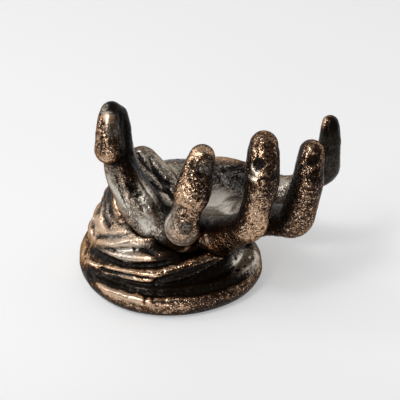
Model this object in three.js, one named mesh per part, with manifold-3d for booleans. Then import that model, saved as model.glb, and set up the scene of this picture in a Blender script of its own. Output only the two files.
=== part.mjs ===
// Cupped open hand on a ring of gathered drapery, a two-piece iron casting.
// Millimetres, +Z up. The origin is the middle of the felt face that rests on
// the table; -Y is the front (fingertips of the index and middle finger),
// +X is the side the little finger points to.

import * as THREE from 'three';
import { ConvexGeometry } from 'three/addons/geometries/ConvexGeometry.js';
import { mergeVertices } from 'three/addons/utils/BufferGeometryUtils.js';
import Module from 'manifold-3d';

const wasm = await Module();
wasm.setup();

// ---------------------------------------------------------------- dimensions
const GAP = 0.35;              // clearance between touching pieces
const BALL_DETAIL = 1;         // facets of the balls that the digits are hulled from
const BALL_SWELL = 1.03;       // makes up for the flat facets

// Felt pad and the recess that takes it
const PAD_RX = 42, PAD_RY = 37.5, PAD_THICK = 2.0;
const FOOT_Z = 0.8;            // iron rim stands this far off the table

// Seat of the wrist in the drapery, and the screw joint through it
const SEAT_Z = 14;             // underside of the wrist
const SCREW_X = -4, SCREW_Y = 21;
const SHANK_R = 3.0, SHANK_TOP = 29;
const HEAD_R = 5.6, HEAD_LOW = 2.7, HEAD_HIGH = 5.5;
const SOCKET_SLOT = 1.6, SOCKET_LEN = 7.0, SOCKET_DEEP = 1.5;
const LOCK_R = 5.4, LOCK_LOW = 5.85, LOCK_HIGH = 7.45, LOCK_SPLIT = 0.16;
const WASHER_R = 7.4, WASHER_LOW = 7.8, WASHER_HIGH = 9.0;
const WASHER_BORE = 3.4;
const COUNTERBORE_R = 8.2, COUNTERBORE_TOP = 9.35;
const CLEAR_HOLE_R = 3.5, TAPPED_HOLE_R = 3.35, TAPPED_TOP = 31;

// Digit joints (x, y, z): knuckle, middle joint, end joint, tip centre
const DIGITS = {
  index:  [[8, -21, 36.5], [5.8, -49.5, 56.2], [11.6, -47, 75.3], [16, -38, 89.4]],
  middle: [[25, -21, 33], [40.5, -46.5, 56.2], [44.8, -46, 79], [45.8, -37.5, 96]],
  ring:   [[43, -8, 36], [63.8, -31, 48.4], [68.7, -31, 71], [70.6, -24.2, 85]],
  little: [[61, 12, 38], [81.5, 2.2, 60.6], [82.6, 1.8, 75.5], [82.6, 4.4, 86.4]],
  thumb:  [[-15.5, -14, 48], [-27.5, -12, 73], [-29.5, -12.5, 84], [-28.2, -6, 97.2]],
};
// Radii at knuckle, mid bone, joint, mid bone, joint, mid bone, tip
const DIGIT_R = {
  index:  [10.2, 8.6, 8.7, 7.3, 8.8, 8.0, 6.6],
  middle: [10.2, 8.6, 8.4, 7.5, 8.4, 8.1, 7.0],
  ring:   [10.0, 8.4, 8.9, 8.5, 7.9, 7.3, 6.4],
  little: [9.0, 7.2, 7.3, 6.4, 5.8, 5.2, 4.3],
  thumb:  [8.6, 7.4, 7.6, 8.8, 9.0, 8.2, 6.6],
};

// Metacarpals (x, y, z, r): heel, mid palm, knuckle
const METACARPALS = [
  [[-10, 20, 36, 13], [-2, 0, 31, 12], [8, -21, 36.5, 10.2]],
  [[-3, 27, 33, 13], [13, 3, 25.5, 12], [25, -21, 33, 10.2]],
  [[6, 33, 32, 13], [28, 12, 25, 12], [43, -8, 36, 10]],
  [[14, 35, 32.5, 12], [42, 25, 30, 11.5], [61, 12, 38, 9]],
];
// How far the palm reaches towards the knuckles between two of them
const WEB = [1, 0.75, 0.3];
// Fleshy rolls of the palm (x, y, z, r)
const PALM_ROLLS = [
  [[-21, 16, 52, 6.5], [-13, 5, 48.5, 6.5], [-4, -7, 41, 6]],                // thumb ball, outer
  [[-17, 27, 50, 9.5], [-12, 20, 48, 9.5], [-5, 12, 43, 9], [3, 4, 37.5, 7]], // thumb ball, inner
  [[-18, 20, 38, 10], [-18, 4, 42, 9.5], [-15.5, -14, 48, 8.6]],             // thumb metacarpal
  [[8, 36, 34, 9], [26, 34.5, 39, 9.6], [44, 26.5, 38.8, 9], [60, 15, 39, 8]],   // outer edge of the palm
  [[-15, -15, 46, 7.2], [-9, -18, 39.5, 6.6], [-2, -21, 34, 6.6], [7, -26, 36, 8]], // web of the thumb
  [[-25.2, -6.6, 83, 5.2], [-24.6, -6, 71, 6.4], [-19.5, -8, 58, 7], [-14.5, -10.5, 48.5, 8]], // back of the thumb
  [[-2, 27, 30.5, 17], [-4, 24, 18, 18], [-4, 21, 6, 17]],                   // wrist
];

// Core of the drapery: height, centre x, centre y, half width, half depth
const CORE = [
  [-2, -1, -1, 46, 42], [8, -1, -1, 46, 42], [16, -1.5, 1, 41.5, 38.5], [24, -3, 3, 36, 35],
  [32, -6.5, 8, 30, 32.5], [40, -11, 13, 22, 28.5], [44, -12, 15, 17.5, 24.5],
];
const CORE_SIDES = 28;
// Hem roll round the foot: centre line half width, half depth, height, radius
const HEM = { rx: 42.4, ry: 39.0, z: 7.2, r: 8.0, sides: 22, cx: -0.8, cy: -1.8 };
// Folds of cloth (x, y, z, r)
const FOLDS = [
  [[-40, 20, 15, 4.5], [-46, 6, 8.5, 5], [-42, -10, 11, 5], [-32, -23, 14, 5], [-21, -31, 16.5, 5], [-8, -35.5, 18, 5.2],
    [6, -35, 21, 5], [18, -31, 25, 4.6], [27, -25.5, 26, 3.2], [33, -19, 25, 2]],
  [[-42, 4, 20, 3.5], [-40, -7, 17, 4], [-34, -16, 19.5, 4.2], [-22, -26, 22.5, 4.4], [-9, -30.5, 25.5, 4.2], [2, -29, 27, 3]],
  [[-42, 4, 24, 4], [-37, -9, 22, 4.2], [-29, -17.5, 25.5, 4.4], [-19, -22.5, 30.5, 4.2], [-10, -24, 32.5, 3.4]],
  [[-39.5, 2, 29, 3.6], [-32, -10, 28.5, 3.6], [-22, -18, 33, 3.4]],
  [[-23, 12, 50, 4], [-27.5, 6, 44.5, 4.8], [-26.5, -3, 38.5, 5], [-17, -16, 34.5, 3.4]],
  [[-29.5, 14, 46, 4], [-33.5, 2, 34, 4.4], [-34.5, -4, 28, 3.4]],
  [[-30, 20, 40, 5], [-35, 11, 31, 5], [-40.5, 0, 16, 4]],
  [[-33, 26, 28, 5], [-41, 13, 17, 5], [-44, 7, 9.5, 5]],
  [[-40.5, 16, 25, 3.2], [-35.5, 24.5, 23.5, 4.8], [-24, 34, 19, 5.4], [-4, 39, 16.5, 5.5], [16, 36.5, 18, 5.4], [33, 24, 19, 5], [40, 11, 16, 4]],
  [[-35.5, 15.5, 35, 2.8], [-32.5, 24.5, 33, 4.6], [-22, 36, 27, 5.4], [-2, 41, 24, 5.4], [18, 38, 24, 5], [34, 25, 25, 4]],
  [[-31, 14, 44, 3], [-29.5, 21.5, 43, 4.6], [-20, 35, 36, 5.4], [-2, 42.5, 32, 5.2], [16, 41, 29, 4.6]],
];

// ---------------------------------------------------------------- helpers
const solidOf = (geometry) => {
  const g = geometry.clone();
  for (const n of Object.keys(g.attributes)) if (n !== 'position') g.deleteAttribute(n);
  const m = mergeVertices(g, 1e-4);
  const tri = m.index ? m.index.array : Uint32Array.from({ length: m.attributes.position.count }, (_, i) => i);
  const s = new wasm.Manifold(new wasm.Mesh({
    numProp: 3,
    vertProperties: Float32Array.from(m.attributes.position.array),
    triVerts: Uint32Array.from(tri),
  }));
  return s;
};
const geometryOf = (solid) => {
  const m = solid.getMesh();
  const g = new THREE.BufferGeometry();
  g.setAttribute('position', new THREE.BufferAttribute(Float32Array.from(m.vertProperties), 3));
  g.setIndex(new THREE.BufferAttribute(Uint32Array.from(m.triVerts), 1));
  g.computeVertexNormals();
  return g;
};
const join = (list) => {
  let row = list;
  while (row.length > 1) {
    const next = [];
    for (let i = 0; i < row.length; i += 2) next.push(i + 1 < row.length ? row[i].add(row[i + 1]) : row[i]);
    row = next;
  }
  return row[0];
};
const biggest = (solid) => solid.decompose().sort((a, b) => b.volume() - a.volume())[0];

const ballDirections = (() => {
  const p = new THREE.IcosahedronGeometry(1, BALL_DETAIL).attributes.position;
  const seen = new Map();
  for (let i = 0; i < p.count; i++) {
    const v = new THREE.Vector3().fromBufferAttribute(p, i).normalize();
    seen.set(`${v.x.toFixed(4)},${v.y.toFixed(4)},${v.z.toFixed(4)}`, v);
  }
  return [...seen.values()];
})();
// Convex hull round a few balls, each given as x, y, z, r
const hull = (balls, grow = 0) => {
  const points = [];
  for (const [x, y, z, r] of balls) {
    for (const d of ballDirections) points.push(d.clone().multiplyScalar((r + grow) * BALL_SWELL).add(new THREE.Vector3(x, y, z)));
  }
  return solidOf(new ConvexGeometry(points));
};
const chain = (balls, grow = 0) => balls.slice(1).map((b, i) => hull([balls[i], b], grow));
const mid = (a, b) => a.map((v, k) => (v + b[k]) / 2);
const along = (a, b, t) => a.map((v, k) => v + (b[k] - v) * t);

// ---------------------------------------------------------------- hand
const handPieces = (grow) => {
  const list = [];
  for (const name of Object.keys(DIGITS)) {
    const j = DIGITS[name], r = DIGIT_R[name], balls = [];
    j.forEach((p, k) => {
      balls.push([...p, r[2 * k]]);
      if (k < j.length - 1) balls.push([...mid(p, j[k + 1]), r[2 * k + 1]]);
    });
    list.push(...chain(balls, grow));
  }
  for (let k = 0; k < METACARPALS.length - 1; k++) {
    const a = METACARPALS[k], b = METACARPALS[k + 1];
    list.push(hull([a[0], a[1], b[0], b[1]], grow));
    list.push(hull([a[1], along(a[1], a[2], WEB[k]), b[1], along(b[1], b[2], WEB[k])], grow));
  }
  for (const m of METACARPALS) list.push(hull([m[1], m[2]], grow));
  for (const roll of PALM_ROLLS) list.push(...chain(roll, grow));
  return list;
};
const slabBelow = (z) => solidOf(new THREE.BoxGeometry(400, 400, 200).translate(0, 0, z - 100));
const rod = (r, z0, z1, sides = 28) => solidOf(new THREE.CylinderGeometry(r, r, z1 - z0, sides)
  .rotateX(Math.PI / 2).translate(SCREW_X, SCREW_Y, (z0 + z1) / 2));

const hand = biggest(join(handPieces(0)).subtract(slabBelow(SEAT_Z)).subtract(rod(TAPPED_HOLE_R, 0, TAPPED_TOP, 20)));
const handRoom = join(handPieces(GAP)).subtract(slabBelow(SEAT_Z - GAP));

// ---------------------------------------------------------------- drapery
const ring = ([z, cx, cy, a, b]) => Array.from({ length: CORE_SIDES }, (_, i) => {
  const t = (i / CORE_SIDES) * Math.PI * 2;
  return new THREE.Vector3(cx + a * Math.cos(t), cy + b * Math.sin(t), z);
});
const drapePieces = CORE.slice(1).map((c, i) => solidOf(new ConvexGeometry([...ring(CORE[i]), ...ring(c)])));
const hemBalls = Array.from({ length: HEM.sides + 1 }, (_, i) => {
  const t = (i / HEM.sides) * Math.PI * 2;
  return [HEM.cx + HEM.rx * Math.cos(t), HEM.cy + HEM.ry * Math.sin(t), HEM.z, HEM.r];
});
drapePieces.push(...chain(hemBalls));
for (const fold of FOLDS) drapePieces.push(...chain(fold));

const ellipseRod = (a, b, z0, z1, sides = 56) => solidOf(new THREE.CylinderGeometry(1, 1, z1 - z0, sides)
  .rotateX(Math.PI / 2).scale(a, b, 1).translate(0, 0, (z0 + z1) / 2));
const drapery = biggest(join(drapePieces)
  .subtract(handRoom)
  .subtract(slabBelow(FOOT_Z))
  .subtract(ellipseRod(PAD_RX + GAP, PAD_RY + GAP, -1, PAD_THICK + GAP))
  .subtract(rod(COUNTERBORE_R, 0, COUNTERBORE_TOP))
  .subtract(rod(CLEAR_HOLE_R, 0, SEAT_Z + 2, 20)));

// ---------------------------------------------------------------- felt, screw and washers
const pad = ellipseRod(PAD_RX, PAD_RY, 0, PAD_THICK);

const turned = (profile, sides) => solidOf(new THREE.LatheGeometry(profile.map(([r, z]) => new THREE.Vector2(r, z)), sides)
  .rotateX(Math.PI / 2).translate(SCREW_X, SCREW_Y, 0));
const screw = turned([
  [0, HEAD_LOW], [HEAD_R - 0.6, HEAD_LOW], [HEAD_R, HEAD_LOW + 0.6], [HEAD_R, HEAD_HIGH],
  [SHANK_R, HEAD_HIGH], [SHANK_R, SHANK_TOP - 0.8], [SHANK_R - 0.8, SHANK_TOP], [0, SHANK_TOP],
], 28).subtract(solidOf(new THREE.BoxGeometry(SOCKET_LEN, SOCKET_SLOT, 2 * SOCKET_DEEP).translate(SCREW_X, SCREW_Y, HEAD_LOW)))
  .subtract(solidOf(new THREE.BoxGeometry(SOCKET_SLOT, SOCKET_LEN, 2 * SOCKET_DEEP).translate(SCREW_X, SCREW_Y, HEAD_LOW)));

const washerShape = new THREE.Shape().absarc(0, 0, WASHER_R, 0, Math.PI * 2, false);
washerShape.holes.push(new THREE.Path().absarc(0, 0, WASHER_BORE, 0, Math.PI * 2, true));
const washerGeometry = new THREE.ExtrudeGeometry(washerShape, { depth: WASHER_HIGH - WASHER_LOW, bevelEnabled: false, curveSegments: 14 })
  .translate(SCREW_X, SCREW_Y, WASHER_LOW);

const lockShape = new THREE.Shape();
lockShape.absarc(0, 0, LOCK_R, LOCK_SPLIT, Math.PI * 2 - LOCK_SPLIT, false);
lockShape.absarc(0, 0, WASHER_BORE, Math.PI * 2 - LOCK_SPLIT - 0.1, LOCK_SPLIT + 0.1, true);
lockShape.closePath();
const lockGeometry = new THREE.ExtrudeGeometry(lockShape, { depth: LOCK_HIGH - LOCK_LOW, bevelEnabled: false, curveSegments: 24 })
  .translate(SCREW_X, SCREW_Y, LOCK_LOW);

// ---------------------------------------------------------------- scene graph
const iron = (color, roughness) => new THREE.MeshStandardMaterial({ color, roughness, metalness: 0.9 });
const sculpture = new THREE.Group();
sculpture.name = 'hand_sculpture';
const add = (name, geometry, material) => {
  const mesh = new THREE.Mesh(geometry, material);
  mesh.name = name;
  sculpture.add(mesh);
};
add('hand_casting', geometryOf(hand), iron(0x3a2a1e, 0.42));
add('drapery_base', geometryOf(drapery), iron(0x33251b, 0.45));
add('felt_pad', geometryOf(pad), new THREE.MeshStandardMaterial({ color: 0x1b1c1d, roughness: 0.97, metalness: 0 }));
add('fixing_screw', geometryOf(screw), new THREE.MeshStandardMaterial({ color: 0x8d8f90, roughness: 0.35, metalness: 1 }));
add('spring_washer', geometryOf(solidOf(lockGeometry)), new THREE.MeshStandardMaterial({ color: 0x6d6f70, roughness: 0.4, metalness: 1 }));
add('flat_washer', geometryOf(solidOf(washerGeometry)), new THREE.MeshStandardMaterial({ color: 0x9a9b9c, roughness: 0.35, metalness: 1 }));

export default sculpture;
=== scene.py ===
import bpy
import math
import numpy as np
from mathutils import Vector, Matrix


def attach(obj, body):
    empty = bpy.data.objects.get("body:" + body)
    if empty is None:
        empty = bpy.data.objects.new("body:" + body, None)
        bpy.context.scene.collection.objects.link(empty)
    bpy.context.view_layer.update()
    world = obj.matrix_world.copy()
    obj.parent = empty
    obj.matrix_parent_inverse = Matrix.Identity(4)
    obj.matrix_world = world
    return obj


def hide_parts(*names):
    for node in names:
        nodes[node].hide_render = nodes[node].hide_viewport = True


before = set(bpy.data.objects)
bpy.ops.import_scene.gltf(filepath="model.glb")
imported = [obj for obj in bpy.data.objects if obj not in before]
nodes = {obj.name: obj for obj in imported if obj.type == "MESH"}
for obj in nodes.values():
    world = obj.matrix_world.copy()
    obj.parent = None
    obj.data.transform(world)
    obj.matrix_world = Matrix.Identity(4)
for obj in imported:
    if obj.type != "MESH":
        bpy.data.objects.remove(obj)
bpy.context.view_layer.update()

# Lengths in this file are millimetres until a mesh is made; the frame is in metres.
HAND_STEP = 0.72      # grid step of the hand's skin
DRAPE_STEP = 0.62     # grid step of the drapery's skin
SEAT_Z = 14.0         # underside of the wrist
FOOT_Z = 0.8          # iron rim above the table
SCREW = (-4.0, 21.0)  # axis of the fixing screw
f32 = np.float32


# ------------------------------------------------------------------ distance fields
class Field:
    """A box of signed distances, in millimetres, negative inside."""

    def __init__(s, lo, hi, h):
        s.lo = np.array(lo, float)
        s.h = float(h)
        s.n = np.ceil((np.array(hi, float) - s.lo) / h).astype(int) + 1
        s.d = np.full(s.n, 40.0, f32)

    def window(s, lo, hi):
        i0 = np.maximum(0, np.floor((np.asarray(lo) - s.lo) / s.h).astype(int))
        i1 = np.minimum(s.n, np.ceil((np.asarray(hi) - s.lo) / s.h).astype(int) + 1)
        if (i1 <= i0).any():
            return None
        sl = tuple(slice(a, b) for a, b in zip(i0, i1))
        x, y, z = [(s.lo[k] + s.h * np.arange(i0[k], i1[k])).astype(f32) for k in range(3)]
        return sl, x[:, None, None], y[None, :, None], z[None, None, :]

    def at(s, p):
        """Trilinear value at points."""
        q = (np.asarray(p, float) - s.lo) / s.h
        q = np.clip(q, 0, s.n - 1.001)
        i = q.astype(int)
        f = q - i
        out = 0.0
        for dx in (0, 1):
            for dy in (0, 1):
                for dz in (0, 1):
                    w = (f[:, 0] if dx else 1 - f[:, 0]) * (f[:, 1] if dy else 1 - f[:, 1]) * (f[:, 2] if dz else 1 - f[:, 2])
                    out = out + w * s.d[i[:, 0] + dx, i[:, 1] + dy, i[:, 2] + dz]
        return out


def smin(a, b, k):
    if k <= 0:
        return np.minimum(a, b)
    h = np.maximum(k - np.abs(a - b), 0) / k
    return np.minimum(a, b) - h * h * (k * 0.25)


def smax(a, b, k):
    return -smin(-a, -b, k)


def segment(x, y, z, a, b, ra, rb):
    """Distance to a capsule that tapers from ra to rb."""
    ba = b - a
    l2 = float(ba @ ba) + 1e-9
    px, py, pz = x - f32(a[0]), y - f32(a[1]), z - f32(a[2])
    t = np.clip((px * f32(ba[0]) + py * f32(ba[1]) + pz * f32(ba[2])) * f32(1 / l2), 0, 1)
    qx, qy, qz = px - t * f32(ba[0]), py - t * f32(ba[1]), pz - t * f32(ba[2])
    return np.sqrt(qx * qx + qy * qy + qz * qz) - (f32(ra) + f32(rb - ra) * t)


def tube(field, pts, rad, k=3.0, inner=0.0, cut=False, margin=6.0):
    """Adds or cuts a chain of tapered capsules, blended with what is there over k."""
    pts = np.asarray(pts, float)
    rad = np.asarray(rad, float)
    m = rad.max() + margin + k
    w = field.window(pts.min(0) - m, pts.max(0) + m)
    if w is None:
        return
    sl = w[0]
    loc = np.full(tuple(s.stop - s.start for s in sl), 40.0, f32)
    for i in range(len(pts) - 1):
        a, b = pts[i], pts[i + 1]
        mm = max(rad[i], rad[i + 1]) + margin + k
        w2 = field.window(np.minimum(a, b) - mm, np.maximum(a, b) + mm)
        if w2 is None:
            continue
        s2, x2, y2, z2 = w2
        rel = tuple(slice(p.start - q.start, p.stop - q.start) for p, q in zip(s2, sl))
        loc[rel] = smin(loc[rel], segment(x2, y2, z2, a, b, rad[i], rad[i + 1]), inner)
    field.d[sl] = smax(field.d[sl], -loc, k) if cut else smin(field.d[sl], loc, k)


def spline(rows, n=6, closed=False):
    """Catmull-Rom through rows of x, y, z, r. Gives points and radii."""
    a = np.asarray(rows, float)
    m = len(a)
    out = []
    for i in range(m if closed else m - 1):
        if closed:
            p0, p1, p2, p3 = a[(i - 1) % m], a[i], a[(i + 1) % m], a[(i + 2) % m]
        else:
            p0, p1, p2, p3 = a[max(i - 1, 0)], a[i], a[i + 1], a[min(i + 2, m - 1)]
        for t in np.arange(n) / n:
            out.append(0.5 * (2 * p1 + (p2 - p0) * t + (2 * p0 - 5 * p1 + 4 * p2 - p3) * t * t + (3 * p1 - p0 - 3 * p2 + p3) * t ** 3))
    out.append(a[0] if closed else a[-1])
    out = np.array(out)
    return out[:, :3], out[:, 3]


def surface(field):
    """Surface nets: vertices and outward quads of the zero level."""
    d = field.d
    n = np.array(d.shape)
    inside = d < 0
    c = n - 1
    owner, place, quads = [], [], []
    for ax in range(3):
        a = [slice(None)] * 3
        b = [slice(None)] * 3
        a[ax] = slice(0, -1)
        b[ax] = slice(1, None)
        a, b = tuple(a), tuple(b)
        i = np.argwhere(inside[a] != inside[b])
        ok = np.ones(len(i), bool)
        for q in range(3):
            if q != ax:
                ok &= (i[:, q] > 0) & (i[:, q] < n[q] - 1)
        i = i[ok]
        d0, d1 = d[a][tuple(i.T)], d[b][tuple(i.T)]
        p = i.astype(float)
        p[:, ax] += d0 / (d0 - d1)
        u, v = [q for q in range(3) if q != ax]
        cells = []
        for du, dv in ((-1, -1), (0, -1), (0, 0), (-1, 0)):
            j = i.copy()
            j[:, u] += du
            j[:, v] += dv
            cells.append((j[:, 0] * c[1] + j[:, 1]) * c[2] + j[:, 2])
        cells = np.stack(cells, 1)
        flip = d0 < 0
        if ax == 1:
            flip = ~flip
        q = cells.copy()
        q[~flip] = cells[~flip][:, ::-1]
        quads.append(q)
        for w in range(4):
            owner.append(cells[:, w])
            place.append(p)
    owner = np.concatenate(owner)
    place = np.concatenate(place)
    ids, inv = np.unique(owner, return_inverse=True)
    cnt = np.bincount(inv)
    v = np.stack([np.bincount(inv, place[:, k]) / cnt for k in range(3)], 1) * field.h + field.lo
    return v, np.searchsorted(ids, np.concatenate(quads))


def normals(v, q):
    n = np.cross(v[q[:, 2]] - v[q[:, 0]], v[q[:, 3]] - v[q[:, 1]])
    out = np.stack([sum(np.bincount(q[:, k], n[:, c], len(v)) for k in range(4)) for c in range(3)], 1)
    return out / np.maximum(np.linalg.norm(out, axis=1, keepdims=True), 1e-9)


def edges_of(q):
    e = np.concatenate([q[:, [0, 1]], q[:, [1, 2]], q[:, [2, 3]], q[:, [3, 0]]])
    e.sort(axis=1)
    key = np.unique(e[:, 0].astype(np.int64) * (q.max() + 1) + e[:, 1])
    return np.stack([key // (q.max() + 1), key % (q.max() + 1)], 1)


def relax(values, edges, n, rounds, amount=0.5):
    """Averages a per-vertex value with its neighbours."""
    a, b = edges[:, 0], edges[:, 1]
    deg = np.bincount(a, minlength=n) + np.bincount(b, minlength=n)
    values = np.asarray(values, float)
    flat = values.ndim == 1
    if flat:
        values = values[:, None]
    for _ in range(rounds):
        s = np.stack([np.bincount(a, values[b, c], n) + np.bincount(b, values[a, c], n) for c in range(values.shape[1])], 1)
        values = values + amount * (s / np.maximum(deg, 1)[:, None] - values)
    return values[:, 0] if flat else values


def largest_part(v, q):
    """Drops loose crumbs, keeps the biggest connected skin."""
    e = edges_of(q)
    lab = np.arange(len(v))
    while True:
        old = lab.copy()
        m = np.minimum(lab[e[:, 0]], lab[e[:, 1]])
        np.minimum.at(lab, e[:, 0], m)
        np.minimum.at(lab, e[:, 1], m)
        lab = lab[lab]
        if (lab == old).all():
            break
    keep = lab == np.bincount(lab).argmax()
    new = np.cumsum(keep) - 1
    return v[keep], new[q[keep[q].all(1)]]


# ------------------------------------------------------------------ noise
def _hash(ix, iy, iz, seed):
    h = (ix.astype(np.uint32) * np.uint32(374761393) + iy.astype(np.uint32) * np.uint32(668265263)
         + iz.astype(np.uint32) * np.uint32(2147483647) + np.uint32(seed * 974711 % 4294967291))
    h = (h ^ (h >> np.uint32(13))) * np.uint32(1274126177)
    h = (h ^ (h >> np.uint32(16))) * np.uint32(2246822519)
    return h ^ (h >> np.uint32(15))


def noise(p, size, seed=1):
    """Smooth noise from -1 to 1 with features about size across."""
    q = np.asarray(p, float) / size + 1000.0
    i = np.floor(q).astype(np.int64)
    f = q - i
    u = f * f * f * (f * (f * 6 - 15) + 10)
    out = np.zeros(len(q))
    for dx in (0, 1):
        for dy in (0, 1):
            for dz in (0, 1):
                h = _hash(i[:, 0] + dx, i[:, 1] + dy, i[:, 2] + dz, seed)
                g = np.stack([(h & np.uint32(1023)).astype(float), ((h >> np.uint32(10)) & np.uint32(1023)).astype(float),
                              ((h >> np.uint32(20)) & np.uint32(1023)).astype(float)], 1) / 511.5 - 1
                w = (u[:, 0] if dx else 1 - u[:, 0]) * (u[:, 1] if dy else 1 - u[:, 1]) * (u[:, 2] if dz else 1 - u[:, 2])
                out += w * ((g * (f - np.array([dx, dy, dz]))).sum(1))
    return out * 1.3


def pits(p, size, seed, share, radius):
    """Depth from 0 to 1 of round pits scattered about size apart."""
    q = np.asarray(p, float) / size + 500.0
    i = np.floor(q).astype(np.int64)
    out = np.zeros(len(q))
    for dx in (-1, 0, 1):
        for dy in (-1, 0, 1):
            for dz in (-1, 0, 1):
                j = i + np.array([dx, dy, dz])
                h = _hash(j[:, 0], j[:, 1], j[:, 2], seed)
                c = j + np.stack([(h & np.uint32(255)).astype(float), ((h >> np.uint32(8)) & np.uint32(255)).astype(float),
                                  ((h >> np.uint32(16)) & np.uint32(255)).astype(float)], 1) / 255.0
                r = ((h >> np.uint32(24)) & np.uint32(255)).astype(float) / 255.0
                on = r < share
                rr = radius * (0.55 + 0.9 * r / share) / size
                d = np.linalg.norm(q - c, axis=1) / rr
                out = np.maximum(out, np.where(on, np.clip(1 - d * d, 0, 1) ** 0.7, 0))
    return out


def step(x, a, b):
    t = np.clip((x - a) / (b - a), 0, 1)
    return t * t * (3 - 2 * t)


def line_distance(p, pts):
    """Distance from points to a polyline, and the share of the way along it."""
    pts = np.asarray(pts, float)
    best = np.full(len(p), 1e9)
    along = np.zeros(len(p))
    ln = np.r_[0, np.cumsum(np.linalg.norm(np.diff(pts, axis=0), axis=1))]
    for k in range(len(pts) - 1):
        a, b = pts[k], pts[k + 1]
        ba = b - a
        t = np.clip(((p - a) @ ba) / (ba @ ba + 1e-9), 0, 1)
        d = np.linalg.norm(p - a - t[:, None] * ba, axis=1)
        m = d < best
        best[m] = d[m]
        along[m] = ((ln[k] + t * (ln[k + 1] - ln[k])) / ln[-1])[m]
    return best, along


# ------------------------------------------------------------------ the hand
# Joints (x, y, z): knuckle, middle joint, end joint, tip centre
JOINTS = {
    "index": [(8, -21, 36.5), (5.8, -49.5, 56.2), (11.6, -47, 75.3), (16, -38, 89.4)],
    "middle": [(25, -21, 33), (40.5, -46.5, 56.2), (44.8, -46, 79), (45.8, -37.5, 96)],
    "ring": [(43, -8, 36), (63.8, -31, 48.4), (68.7, -31, 71), (70.6, -24.2, 85.0)],
    "little": [(61, 12, 38), (81.5, 1.8, 60.6), (82.6, 1.8, 75.5), (82.6, 4.4, 86.4)],
    "thumb": [(-15.5, -14, 48), (-27.5, -12, 73), (-29.5, -12.5, 84), (-27.6, -5.5, 97.4)],
}
JOINTS = {k: [np.array(p, float) for p in v] for k, v in JOINTS.items()}
# Radii at knuckle, mid bone, joint, mid bone, joint, mid bone, tip
RADII = {
    "index": [10.2, 8.6, 8.7, 7.1, 8.8, 8.0, 6.6],
    "middle": [10.2, 8.6, 8.4, 7.4, 8.5, 8.3, 7.1],
    "ring": [10.0, 8.4, 8.9, 8.5, 8.0, 7.3, 6.4],
    "little": [9.0, 7.2, 7.4, 6.4, 5.8, 5.2, 4.4],
    "thumb": [8.6, 7.0, 7.4, 8.6, 8.0, 7.4, 6.5],
}


def digit_chain(j, r, bend=0.34):
    """Centre line and radii of a digit, its joints rounded off."""
    pts, rad = [], []
    n = len(j)
    for b in range(n - 1):
        a, c = j[b], j[b + 1]
        r0, rm, r1 = r[2 * b:2 * b + 3]
        t0 = 0.0 if b == 0 else bend / 2
        t1 = 1.0 if b == n - 2 else 1 - bend / 2
        for t in np.linspace(t0, t1, 5):
            pts.append(a + (c - a) * t)
            rad.append(r0 * (2 * (t - .5) * (t - 1)) + rm * (4 * t * (1 - t)) + r1 * (2 * t * (t - .5)))
        if b < n - 2:
            e = j[b + 2]
            p0, p2 = a + (c - a) * t1, c + (e - c) * bend / 2
            for t in (0.25, 0.5, 0.75):
                pts.append((1 - t) ** 2 * p0 + 2 * t * (1 - t) * c + t * t * p2)
                rad.append(r1)
    return np.array(pts), np.array(rad)


BOX = ((-62, -66, -4), (100, 60, 112))


def hand_field(h):
    f = Field(*BOX, h)
    j = JOINTS
    for rows in (
        [(-10, 20, 36, 13), (-2, 0, 31, 12), (*j["index"][0], 10.4)],
        [(-3, 27, 33, 13), (13, 3, 25.5, 12), (*j["middle"][0], 10.2)],
        [(6, 33, 32, 13), (28, 12, 25, 12), (*j["ring"][0], 10)],
        [(14, 35, 32.5, 12), (42, 25, 30, 11.5), (*j["little"][0], 9)],
    ):
        tube(f, *spline(rows), k=9)
    # ball of the thumb: outer ridge, inner mound, metacarpal
    tube(f, *spline([(-21, 16, 52, 6.5), (-13, 5, 48.5, 6.5), (-4, -7, 41, 6)]), k=2.5)
    tube(f, *spline([(-17, 27, 50, 9.5), (-12, 20, 48, 9.5), (-5, 12, 43, 9), (3, 4, 37.5, 7)]), k=2.5)
    tube(f, *spline([(-18, 20, 38, 10), (-18, 4, 42, 9.5), (*j["thumb"][0], 8.4)]), k=5)
    # outer edge of the palm
    tube(f, *spline([(8, 36, 34, 9), (26, 34.5, 39, 9.6), (44, 26.5, 38.8, 9), (60, 15, 39, 8)]), k=5)
    # web between thumb and index finger
    tube(f, *spline([(-15, -15, 46, 7.2), (-9, -18, 39.5, 6.6), (-2, -21, 34, 6.6), (7, -26, 36, 8)], 5), k=4)
    # wrist
    tube(f, *spline([(-2, 27, 30.5, 17), (-4, 24, 18, 18), (-4, 21, 6, 17)], 5), k=8)
    for name in ("index", "middle", "ring", "little"):
        tube(f, *digit_chain(j[name], RADII[name]), k=3.5, inner=0.6)
    # thumb: first bone with a split along its back, then the end with a nail lobe and a side lobe
    tube(f, *spline([(-25.2, -9.5, 80, 5.0), (-25.5, -10, 69, 6.4), (-20.5, -12, 57, 6.8), (-14, -14, 47, 8.2)]), k=2.5)
    tube(f, *spline([(-25.2, -6.6, 83, 5.2), (-24.6, -6, 71, 6.4), (-19.5, -8, 58, 7.0), (-14.5, -10.5, 48.5, 8.0)]), k=4.0)
    tube(f, *spline([(-29.6, -12, 72, 5.0), (-29.0, -13, 65, 4.6), (-26, -15, 57, 4.6), (-21, -17.5, 46, 5.2), (-13.5, -19.5, 37, 5.2)]), k=3.0)
    tube(f, *spline([(-25, -10, 79, 4.8), (-25, -7, 88, 5.2), (-26.9, -4.3, 95.6, 5.3)]), k=1.6)
    tube(f, *spline([(-31, -15.5, 81.5, 7.4), (-31, -13, 89, 6.9), (-30.4, -9, 95.4, 6.2), (-29.8, -5.9, 98.4, 5.4)]), k=1.6)
    return f


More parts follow.
